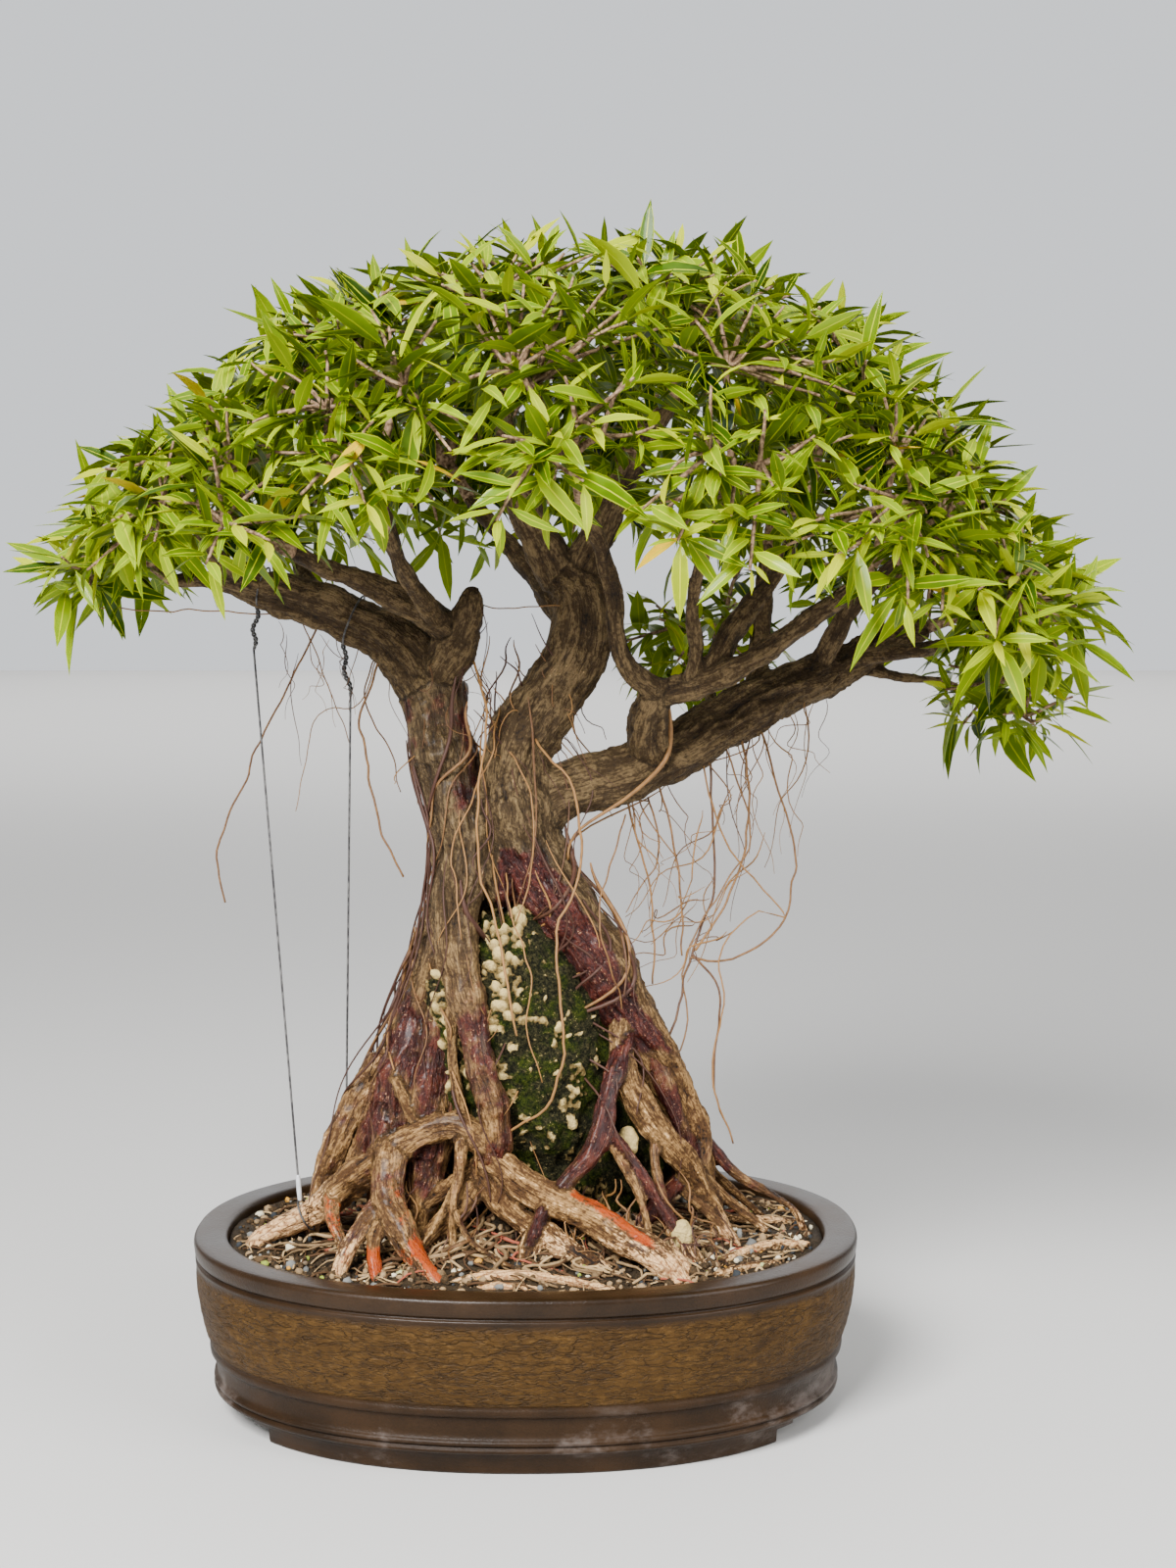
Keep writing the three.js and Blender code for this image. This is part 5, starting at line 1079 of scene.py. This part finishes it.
line = cracks(44.0, 0.030) * 0.8 + cracks(95.0, 0.045) * 0.6
up = where.axis("Z")
# The band: dark clay, mottled mid brown, a painted highlight on the high spots of the grain that the bump
# also raises, and darker crack lines.
band = clay.coats(
    (0.034, 0.0156, 0.0026),
    ((0.074, 0.0360, 0.0066), (relief * 0.12 + flat_grain * 0.6 + mottle * 0.6).between(0.35, 0.95)),
    ((0.15, 0.082, 0.024), flat_grain.between(0.54, 0.70) * 0.24),
    ((0.016, 0.008, 0.002), line * 0.54))
chalk = clay.noise(clay.stretch(where, (1, 1, 1.6)), 22.0, 5.0, 0.7)
chalk = chalk + clay.noise(where, 9.0, 1.0) * 0.5 - 0.25
low_down = 1 - up.between(0.030, 0.046)
colour = clay.coats(
    (0.013, 0.0062, 0.0020),
    ((0.029, 0.014, 0.0050), (mottle * 0.8 + pore * 0.3).between(0.35, 0.75)),
    (band, body_share),
    ((0.24, 0.20, 0.18), chalk.between(0.54, 0.74) * low_down * 0.28))
clay_finish = clay.finish(
    colour=colour, roughness=0.34 + 0.14 * body_share + 0.22 * mottle - 0.06 * up.between(0.088, 0.097),
    height=(flat_grain - line * 0.9) * body_share + pore * 0.35, bump=0.95, reach=0.0008,
    coat=up.between(0.086, 0.093) * 0.12)
pot.data.materials.append(clay_finish)
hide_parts("pot")

FLOOR_HALF = (POT_HALF[0] - 31, POT_HALF[1] - 31)
FLOOR_UNDER, FLOOR_TOP = 14.0, 24.0
DRAIN_HOLES = (-80.0, 80.0)
DRAIN_RADIUS = 13
rows, around = 14, 120
turn = np.linspace(0, 2 * np.pi, around, endpoint=False)
share = np.concatenate([np.linspace(0.02, 1, rows // 2), np.linspace(1, 0.02, rows // 2)])
x, y = oval(FLOOR_HALF[0] * share[:, None], FLOOR_HALF[1] * share[:, None], turn)
level = np.where(np.arange(rows) < rows // 2, FLOOR_UNDER, FLOOR_TOP)[:, None] * np.ones_like(x)
floor_points = np.stack([x, y, level], axis=-1).reshape(-1, 3)
floor_points = np.vstack([floor_points, (0, 0, FLOOR_UNDER), (0, 0, FLOOR_TOP)])
floor = piece_from("pot_floor", (floor_points, *ring_faces(rows, around)), smooth=False)
for place in DRAIN_HOLES:
    ring = circle(48, DRAIN_RADIUS) + (place, 0)
    rings = [np.column_stack([ring, np.full(48, z)]) for z in (5, 30)]
    rod = np.vstack([*rings, (place, 0, 5), (place, 0, 30)])
    tool = piece_from("drain_tool", (rod, *ring_faces(2, 48)))
    drill = floor.modifiers.new("drain", "BOOLEAN")
    drill.object = tool
    drill.solver = "EXACT"
    drilled = baked(floor)
    floor.modifiers.clear()
    floor.data = drilled
    bpy.data.objects.remove(tool)
floor.data.materials.clear()
floor.data.materials.append(clay_finish)
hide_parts("pot")

FOOT_REACH = 146.0
FOOT_STEP = 156.0
FOOT_SECTION = (
    (19.6, 1.2), (18.8, 5.0), (17.2, 10.0), (15.2, 14.4), (22.0, 14.6), (31.5, 14.6), (33.0, 10.0),
    (33.4, 5.0), (33.0, 1.2), (32.0, 0.0), (20.6, 0.0))
reach = np.concatenate([np.linspace(-FOOT_STEP, -FOOT_REACH, 6),
                        np.linspace(-FOOT_REACH + 0.4, FOOT_REACH - 0.4, 150),
                        np.linspace(FOOT_REACH, FOOT_STEP, 6)])
raised = np.where(np.abs(reach) >= FOOT_REACH, 8.0, 0.0)


def edge(inset, side):
    """The oval's y at each x for an inset: half width * (1 - |x / half length|^2.2)^(1/2.2)."""
    half_x, half_y = POT_HALF[0] - inset, POT_HALF[1] - inset
    return side * half_y * np.clip(1 - np.abs(reach / half_x) ** OVAL_POWER, 0, 1) ** (1 / OVAL_POWER)


foot_shapes = []
for side in (-1, 1):
    section = np.stack([np.stack([reach, edge(inset, side), np.maximum(raised, z)], axis=-1)
                        for inset, z in FOOT_SECTION], axis=1)
    middle = section.mean(axis=1)
    points = np.vstack([section.reshape(-1, 3), middle[0], middle[-1]])
    foot_shapes.append((points, *(faces[:, ::-side] for faces in ring_faces(len(reach), len(FOOT_SECTION)))))
feet = piece_from("pot_feet", gather(foot_shapes), smooth=False)
feet.data.materials.append(clay_finish)
round_off = feet.modifiers.new("worn_edges", "BEVEL")
round_off.width = 0.0007
round_off.segments = 2
round_off.limit_method = "ANGLE"
round_off.angle_limit = math.radians(35)
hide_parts("pot")

# ---- Drain screens ----------------------------------------------------------------------------
# Squares of dark plastic mesh laid over the drain holes before the soil goes in.

mesh_plastic = Finish("screen_plastic", Specular_IOR_Level=0.4)
scuff = mesh_plastic.noise(mesh_plastic.place(), 500.0, 2.0)
colour = mesh_plastic.mix((0.012, 0.016, 0.013), (0.035, 0.040, 0.036), scuff)
screen_finish = mesh_plastic.finish(colour=colour, roughness=0.45 + 0.25 * scuff,
                                    height=scuff, bump=0.2, reach=0.0003)
for name in ("drain_screen_left", "drain_screen_right"):
    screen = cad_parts[name]
    screen.data.materials.clear()
    screen.data.materials.append(screen_finish)

# ---- Guy wires --------------------------------------------------------------------------------
# Two thin steel wires that pull the left bough down: a loop round the bough, a twisted length where
# the ends are wound together, a straight run, and a loop round a root with a clear sleeve or a knot.

# Where each wire goes: the bough and the root that it holds, each as (middle of the loop, the way
# the stem runs, the stem's radius, a point that the wire leaves towards), the share of the wire in
# its sleeve, and the sleeve's two colours
WIRE_RUNS = {
    "guy_wire_outer": (((-159, 26.1, 490.3), (-18, 2, 6), 10.6, (-165, 24, 452)),
                       ((-130, -27.6, 117.8), (-21, 1, -11), 8.0, (-134, -20, 200)),
                       0.045, (0.42, 0.43, 0.45), (0.70, 0.71, 0.72)),
    "guy_wire_inner": (((-104, 21, 470), (-22, 2, 10), 14.6, (-106, 17, 424)),
                       ((-100, 6, 171), (-11, -2, -22), 9.4, (-130, 6, 190)),
                       0.02, (0.03, 0.03, 0.03), (0.10, 0.10, 0.10)),
}
LOOP_WIRE, TWIST_WIRE, STRAIGHT_WIRE = 0.6, 0.75, 0.65

steel = Finish("dull_steel", Metallic=0.75, Specular_IOR_Level=0.5)
tarnish = steel.noise(steel.place(), 240.0)
colour = steel.mix((0.045, 0.043, 0.045), (0.17, 0.165, 0.16), tarnish.between(0.35, 0.7))
steel_finish = steel.finish(colour=colour, roughness=0.40 + 0.3 * tarnish,
                            height=tarnish, bump=0.2, reach=0.0002)


def round_tube(centres, radius, sides):
    """One tube round a line of points, with one radius or a radius for each point."""
    return tubes(np.column_stack([centres, np.broadcast_to(radius, len(centres))])[None], sides)


def wound(start, end, coils, out, phase):
    """A strand wound round a slightly bent line from start to end: line + out * (cos(a) u + sin(a) v)."""
    t = np.linspace(0, 1, coils * 14 + 1)[:, None]
    centre = start + (end - start) * t + np.sin(np.pi * t) * np.sin(9 * t) * (1.6, 0.6, 0)
    _, normal, side = (rows[0] for rows in run_frames(centre[None]))
    a = 2 * np.pi * coils * t + phase
    return centre + out * np.minimum(1, 6 * (1 - t)) * (np.cos(a) * normal + np.sin(a) * side)


def looped(middle, stem, radius, aim):
    """A loop of wire round a stem, with its ends 0.9 mm to either side, and the point where it leaves
    towards the aim: middle + loop * (cos(a) way + sin(a) aside) + 0.9 sin(a / 2 - 0.8) * stem."""
    middle = np.array(middle, float)
    axis = unit(np.array(stem, float))
    way = np.array(aim, float) - middle
    way = unit(way - axis * (way @ axis))
    loop = radius + 1.35
    a = np.linspace(0, 2 * np.pi, 49)[:, None]
    ring = middle + loop * (np.cos(a) * way + np.sin(a) * np.cross(axis, way))
    return round_tube(ring + axis * 0.9 * np.sin(a / 2 - 0.8), LOOP_WIRE, 8), middle + way * loop


for name, (bough, root, sleeved, dim, bright) in WIRE_RUNS.items():
    twist_end = np.array(bough[-1], float)
    top_loop, top = looped(*bough)
    foot_loop, foot = looped(*root)
    twists = [round_tube(wound(top, twist_end, 5, 0.85, phase), TWIST_WIRE, 8) for phase in (0, np.pi)]
    straight = round_tube(foot + (twist_end - foot) * np.linspace(0, 1, 30)[:, None], STRAIGHT_WIRE, 8)
    wire = piece_from(name + "_strand", gather([top_loop, foot_loop, *twists, straight]))
    wire.data.materials.append(steel_finish)
    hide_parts(name)
    sleeve_line = foot + (twist_end - foot) * np.linspace(0.0, sleeved, 16)[:, None]
    swell = 1.25 + 0.25 * np.sin(np.linspace(0, np.pi, 16))
    sleeve = piece_from(name + "_sleeve", round_tube(sleeve_line, swell, 14))
    cover = Finish(name + "_sleeve_plastic", Specular_IOR_Level=0.5)
    haze = cover.noise(cover.place(), 300.0, 2.0)
    sleeve.data.materials.append(cover.finish(colour=cover.mix(dim, bright, haze), roughness=0.3 + 0.2 * haze,
                                              height=haze, bump=0.1, reach=0.0002))

# ---- Crown ------------------------------------------------------------------------------------
# The dome of foliage. Its twigs leave the limb ends, part and end in whorls of narrow leaves, as in
# the real tree. Each spray's twigs and its leaves are a piece each, and together take the place of its CAD
# spray.
# A spray's line gives its limb and its centre.

SPRAYS = {
    "left_tip": ("left_bough", (-236, 30, 520)),
    "left_upper": ("left_bough_up", (-186, 6, 588)),
    "left_crown": ("left_fork_up", (-106, 4, 634)),
    "top_left": ("top_left", (-12, 0, 660)),
    "top_right": ("top_right", (90, 8, 660)),
    "right_crown": ("riser_back", (180, 14, 610)),
    "right_upper": ("right_shoulder", (250, 26, 556)),
    "right_tip": ("right_limb", (298, 88, 492)),
    "front_far_left": ("left_fork", (-168, -94, 538)),
    "front_left": ("left_front", (-78, -132, 574)),
    "front_middle": ("riser_left", (24, -138, 590)),
    "front_right": ("riser_front", (122, -130, 578)),
    "front_far_right": ("riser_right", (208, -92, 532)),
    "right_front": ("right_front", (286, -32, 478)),
    "back_left": ("left_back", (-168, 128, 556)),
    "back_middle_left": ("top_back_left", (-62, 144, 598)),
    "back_middle": ("top_back_right", (52, 150, 602)),
    "back_right": ("back_right", (160, 142, 568)),
    "back_far_right": ("right_back", (246, 146, 510)),
    "back_low": ("back_low", (112, 128, 454)),
    "right_low": ("right_low", (302, 92, 424)),
}

# The crown as seen from the front, (x, top of the dome) and (x, its lower edge), and from above,
# (x, half its depth) and (x, y of its middle)
DOME_TOP = np.array([
    (-312, 488), (-300, 512), (-270, 547), (-243, 588), (-214, 590), (-176, 626), (-155, 656), (-109, 676),
    (-78, 686), (-37, 698), (3, 704), (37, 706), (66, 704), (115, 702), (147, 684), (170, 676), (198, 662),
    (216, 642), (245, 620), (269, 588), (298, 555), (321, 540), (345, 520), (362, 490), (368, 466)], float)
DOME_EDGE = np.array([
    (-312, 478), (-250, 484), (-138, 488), (-60, 508), (66, 500), (120, 486), (183, 468), (250, 446),
    (320, 430), (368, 450)], float)
DOME_DEPTH = np.array([
    (-312, 34), (-280, 86), (-230, 132), (-160, 172), (-80, 198), (20, 206), (120, 200), (200, 178),
    (270, 142), (330, 92), (368, 40)], float)
DOME_MIDDLE = np.array([(-312, 30), (-150, 14), (0, 6), (150, 12), (280, 40), (368, 62)], float)
random = np.random.default_rng(404)


def dome(x, around):
    """Points on the dome at each x: an arch from front to back, with edge + rise * sin(a)^0.72 as
    its height and middle - depth * cos(a) as its y."""
    lines = (DOME_TOP, DOME_EDGE, DOME_DEPTH, DOME_MIDDLE)
    top, edge, depth, middle = (np.interp(x, *line.T) for line in lines)
    z = edge + (top - edge) * np.maximum(np.sin(around), 0) ** 0.72
    return np.stack([x, middle - depth * np.cos(around), z], axis=-1)


def spread_out(points, gap):
    """Keeps each point that is at least gap from all those kept before it."""
    kept = np.empty((0, 3))
    for point in points:
        if not len(kept) or np.min(((kept - point) ** 2).sum(1)) > gap ** 2:
            kept = np.vstack([kept, point])
    return kept


# Twig tips in three layers, each further inside the dome and with wider gaps, then round the two
# low sprays, which hang out under the dome
tips = []
for inset, gap, tries in ((20, 21.5, 12000), (48, 28, 5000), (84, 40, 2500)):
    x = random.uniform(-300, 357, tries)
    a = np.arccos(random.uniform(-1, 1, tries))
    outside = dome(x, a)
    heart = [np.clip(x, -230, 280), np.interp(x, *DOME_MIDDLE.T), np.interp(x, *DOME_EDGE.T) + 10]
    away = outside - np.stack(heart, axis=-1)
    size = np.linalg.norm(away, axis=1, keepdims=True)
    drawn_in = outside - away / np.maximum(size, 1) * np.minimum(inset, 0.8 * size)
    tips.append(spread_out(drawn_in[size[:, 0] > inset * 1.1], gap))
for name, half in (("right_low", (52, 54, 30)), ("back_low", (62, 54, 36))):
    around = unit(random.normal(size=(400, 3)))
    tips.append(spread_out(SPRAYS[name][1] + 0.85 * np.array(half) * around, 26))
# The two low sprays count as the outer layer, so their leaves get no painted shade.
layers = np.concatenate([np.full(len(some), index if index < 3 else 0) for index, some in enumerate(tips)])
tips = np.vstack(tips)

centres = np.array([centre for limb, centre in SPRAYS.values()], float)
limb_ends = np.array([wood_stems[limb][-1] for limb, centre in SPRAYS.values()], float)
owner = np.argmin((((tips[:, None] - centres) * (1, 0.9, 1.3)) ** 2).sum(2), axis=1)

# Where each point of a leaf lies, as a share of its length and half width, and on top (1), under
# (-1) or on the edge (0): the stalk, five rings of (edge, rib above, edge, rib below), and the tip.
# Length in mm and width as a share of it are each given as mean and spread.
LEAF_STATIONS = np.array([0, 0.08, 0.25, 0.48, 0.72, 0.90, 1])
LEAF_BREADTH = np.array([0, 0.18, 0.82, 1.0, 0.72, 0.24, 0])
LEAF_THICKNESS = 0.32
LEAF_LENGTH = (37, 8.0)
LEAF_WIDTH = (0.212, 0.026)
LEAF_POINTS = 22
along = np.repeat(LEAF_STATIONS, (1, 4, 4, 4, 4, 4, 1))
across = np.array([0, *(-1, 0, 1, 0) * 5, 0])
layer = np.array([0, *(0, 1, 0, -1) * 5, 0])
order = np.array([*range(1, 21), 0, 21])
leaf_quads, leaf_fans = (order[faces] for faces in ring_faces(5, 4))


def leaves(base, direction, up, length, width, droop, fold):
    """Closed narrow blades: base + direction * L t + side * w(t) * across + up * height, where the
    height bends down by droop * L * t^2, lifts the edges by fold and parts top from underside."""
    side = unit(np.cross(direction, up))
    up = np.cross(side, direction)
    half = width[:, None] / 2 * np.interp(along, LEAF_STATIONS, LEAF_BREADTH)
    forward = length[:, None] * along * (1 - 0.25 * droop[:, None] * along)
    height = -droop[:, None] * length[:, None] * along ** 2 + fold[:, None] * half * np.abs(across)
    height = height + LEAF_THICKNESS * layer * 0.5
    return (base[:, None] + forward[..., None] * direction[:, None] + height[..., None] * up[:, None]
            + (half * across)[..., None] * side[:, None])


def twigs(start, way, end, count, kink, size, seed, thick, sides):
    """Tubes round bowed lines (1-t)^2 start + 2 t (1-t) (start + way) + t^2 end, bent by kink times
    the lumps of that size and seed, with radii that go evenly from one end of thick to the other."""
    t = np.linspace(0, 1, count)[None, :, None]
    lines = start[:, None] * (1 - t) ** 2 + 2 * (start + way)[:, None] * t * (1 - t) + end[:, None] * t ** 2
    lines += kink * wander(lines, size, seed, 90)
    radii = np.broadcast_to(np.linspace(*thick, count), lines.shape[:2])
    return tubes(np.concatenate([lines, radii[..., None]], axis=2), sides)


leaf = Finish("willow_leaf", Specular_IOR_Level=0.05, Coat_Weight=0.16, Coat_Roughness=0.12)
tone_and_shade, young, under = (leaf.attribute(name) for name in ("tone", "young", "under"))
uv = leaf.node("ShaderNodeUVMap", {"uv_map": "blade"})
from_rib = abs(uv.axis("X") - 0.5)
slanted = uv.axis("Y") * 34 - from_rib * 22
vein = leaf.node("ShaderNodeMath", {"operation": "SINE"}, {0: slanted * 6.283})
dapple = leaf.noise(leaf.place(), 60.0, 2.0)
rib = 1 - from_rib.between(0.018, 0.060)
# The leaf tone is random tone with painted shade in it: darker inner leaves and a darker dome top.
colour = leaf.coats(
    (0.004, 0.018, 0.0002),
    ((0.066, 0.142, 0.0002), (tone_and_shade * 0.9 + dapple * 0.4 - 0.2).between(0.0, 0.5)),
    ((0.200, 0.290, 0.0002), (tone_and_shade * 0.9 + young * 0.5 + dapple * 0.3 - 0.30).between(0.05, 0.75)),
    ((0.40, 0.42, 0.0002), (young * 0.9 + tone_and_shade * 0.45 - 0.42).between(0.20, 0.80) * 0.85),
    ((0.68, 0.42, 0.003), tone_and_shade.between(0.985, 0.99)),
    ((0.46, 0.50, 0.008), rib * 0.75),
    ((0.44, 0.50, 0.006), from_rib.between(0.41, 0.48) * 0.65),
    ((0.13, 0.20, 0.004), under * 0.40))
leaf_finish = leaf.finish(colour=colour, roughness=0.25 + 0.10 * dapple + 0.22 * under,
                          height=vein * 0.12 + rib * 0.9, bump=0.35, reach=0.0005)
twig = Finish("twig_bark", Specular_IOR_Level=0.2)
speck = twig.noise(twig.place(), 420.0)
colour = twig.mix((0.085, 0.045, 0.024), (0.40, 0.26, 0.15), speck.between(0.3, 0.7))
twig_finish = twig.finish(colour=colour, roughness=0.7 + 0.15 * speck, height=speck, bump=0.6, reach=0.0006)

for index, name in enumerate(SPRAYS):
    mine = np.flatnonzero(owner == index)
    ends = tips[mine]
    centre, limb_end = centres[index], limb_ends[index, :3]
    picks = ends[np.linspace(0, len(ends) - 1, max(3, len(ends) // 6)).astype(int)]
    hubs = centre + 0.50 * (picks - centre) - (0, 0, 6)
    fork = limb_end + 0.55 * (centre - limb_end) - (0, 0, 6)
    start = hubs[np.argmin(((ends[:, None] - hubs) ** 2).sum(2), axis=1)]
    rise = np.column_stack([np.zeros((len(ends), 2)), random.uniform(-6, 8, len(ends))])
    thick = min(limb_ends[index, 3], 4.2)
    wood = piece_from(f"twigs_{name}", gather([
        twigs(start, 0.4 * (ends - start) + rise, ends, 7, 1.4, 16.0, 61, (1.6, 0.8), 4),
        twigs(np.broadcast_to(fork, hubs.shape), 0.35 * (hubs - fork) + (0, 0, 5), hubs,
              12, 2.2, 24.0, 62, (thick * 0.75, 1.7), 6),
        twigs(limb_end[None], 0.5 * (fork - limb_end)[None], fork[None],
              12, 0, 24.0, 62, (thick, thick * 0.8), 8)]))
    wood.data.materials.append(twig_finish)
    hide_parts(f"leaves_{name}")

    count = random.integers(6, 11, len(ends))
    whorl = np.repeat(np.arange(len(ends)), count)
    number = len(whorl)
    rank = np.concatenate([np.arange(n) for n in count])
    share = rank / (count[whorl] - 1)
    axis = unit(ends - start + (0, 0, 4))[whorl]
    outward = unit(ends - (centre - (0, 0, 46)))[whorl]
    axis = unit(axis + 0.5 * outward + 0.35 * random.normal(size=(len(ends), 3))[whorl])
    fixed = np.where(np.abs(axis[:, 2:]) > 0.8, (1.0, 0, 0), (0, 0, 1.0))
    first = unit(np.cross(axis, fixed))
    second = np.cross(axis, first)
    swing = 2.4 * rank + random.uniform(0, 6.3, len(ends))[whorl] + random.normal(0, 0.3, number)
    radial = np.cos(swing)[:, None] * first + np.sin(swing)[:, None] * second
    lean = np.radians(86 - 52 * share ** 1.6 + random.normal(0, 13, number))[:, None]
    direction = np.cos(lean) * axis + np.sin(lean) * radial
    direction = unit(direction * (1, 1, 0.80) - (0, 0, 0.10))
    back = (1 - share) * random.uniform(18, 34, len(ends))[whorl]
    foot = ends[whorl] - axis * back[:, None] + radial * 0.7
    sky = np.cross(np.cross(direction, (0, 0, 0.8) + 0.9 * outward), direction)
    sky = unit(unit(sky) + 0.38 * random.normal(size=(number, 3)))
    growth = 1 - 0.45 * step_up(share, 0.55, 1.0) * random.uniform(0.4, 1.0, number)
    length = np.clip(random.normal(*LEAF_LENGTH, number), 18, 54) * growth
    width = length * np.clip(random.normal(*LEAF_WIDTH, number), 0.14, 0.26)
    blades = leaves(foot, direction, sky, length, width,
                    random.uniform(0.0, 0.42, number), random.uniform(0.05, 0.45, number))
    foliage = piece_from(f"foliage_{name}", (blades.reshape(-1, 3),
                                             *copies(leaf_quads, leaf_fans, number, LEAF_POINTS)))
    # Painted shade in the leaf tone: leaves darken the higher their twig tip stands in the dome, where the
    # light falls strongest, and on each inner layer of tips, which also get less of the bright young colour.
    height = step_up(ends[whorl, 2] - np.interp(ends[whorl, 0], *DOME_EDGE.T), 0, 150)
    inner = layers[mine][whorl]
    tone = 0.19 + 0.66 * random.uniform(0, 1, number) + 0.34 * random.uniform(0, 1, len(ends))[whorl]
    tone = np.clip((tone - 0.30 * height) * (1 - 0.38 * inner), 0, 0.98)
    tone[random.uniform(0, 1, number) < 0.007] = 1
    fresh = np.clip(step_up(share, 0.35, 1.0) * random.uniform(0.3, 1.25, number) * (1 - 0.4 * inner), 0, 1)
    give(foliage, "tone", np.repeat(tone, LEAF_POINTS))
    give(foliage, "young", np.repeat(fresh, LEAF_POINTS))
    give(foliage, "under", np.tile([0, 0, 1, 1], 6 * number), "FACE")
    mesh = foliage.data
    corner = np.empty(len(mesh.loops), np.int32)
    mesh.loops.foreach_get("vertex_index", corner)
    spot = corner % LEAF_POINTS
    flat = np.stack([0.5 + 0.5 * across[spot], along[spot]], axis=1).astype(np.float32)
    mesh.uv_layers.new(name="blade").data.foreach_set("uv", flat.ravel())
    pairs = np.empty(len(mesh.edges) * 2, np.int32)
    mesh.edges.foreach_get("vertices", pairs)
    margin = (layer[pairs % LEAF_POINTS] == 0).reshape(-1, 2).all(axis=1)
    mesh.attributes.new("sharp_edge", "BOOLEAN", "EDGE").data.foreach_set("value", margin)
    mesh.materials.append(leaf_finish)
    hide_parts(f"leaves_{name}")

# ---- Floor and light --------------------------------------------------------------------------
# A plain pale floor and soft studio light: two wide panels from the upper front, one from above,
# one over the floor far behind, and a grey surround that is brighter behind the tree.

floor_plane = bpy.data.meshes.new("studio_floor")
floor_plane.from_pydata([(-12, -12, 0), (12, -12, 0), (12, 12, 0), (-12, 12, 0)], [], [(0, 1, 2, 3)])
studio_floor = placed("studio_floor", floor_plane)
floor_plane.materials.append(Finish("pale_floor", Roughness=0.8, Base_Color=(0.62, 0.61, 0.59)).material)

# Each panel's place, what it faces, its size and its power
PANELS = {
    "key_panel": ((-0.8, -1.75, 1.75), (0.0, 0.0, 0.35), 1.0, 172.0),
    "fill_panel": ((1.5, -1.1, 1.1), (0.0, 0.0, 0.35), 1.2, 36.0),
    "top_panel": ((0.1, 0.3, 2.3), (0.0, 0.0, 0.3), 1.4, 9.0),
    "far_panel": ((0.0, 8.5, 2.3), (0.0, 8.51, 0.0), 10.0, 540.0),
}
for name, (place, aim, size, power) in PANELS.items():
    panel = placed(name, bpy.data.lights.new(name, "AREA"))
    panel.data.size = size
    panel.data.energy = power
    panel.location = place
    panel.visible_camera = False
    way = np.array(aim) - np.array(place)
    level = math.hypot(way[0], way[1])
    panel.rotation_euler = (math.atan2(level, -way[2]), 0, math.atan2(way[1], way[0]) - math.pi / 2)

# The surround is a dim grey that brightens to a pale wall far behind the tree
world = bpy.data.worlds.new("studio")
world.use_nodes = True
nodes, links = world.node_tree.nodes, world.node_tree.links
nodes["Background"].inputs["Color"].default_value = (0.93, 0.96, 1.0, 1)
direction = nodes.new("ShaderNodeSeparateXYZ")
links.new(nodes.new("ShaderNodeTexCoord").outputs["Generated"], direction.inputs["Vector"])
glow = nodes.new("ShaderNodeMapRange")
glow.interpolation_type = "SMOOTHSTEP"
for socket, value in (("From Min", 0.75), ("From Max", 0.93), ("To Min", 0.36), ("To Max", 1.05)):
    glow.inputs[socket].default_value = value
links.new(direction.outputs["Y"], glow.inputs["Value"])
links.new(glow.outputs["Result"], nodes["Background"].inputs["Strength"])
bpy.context.scene.world = world
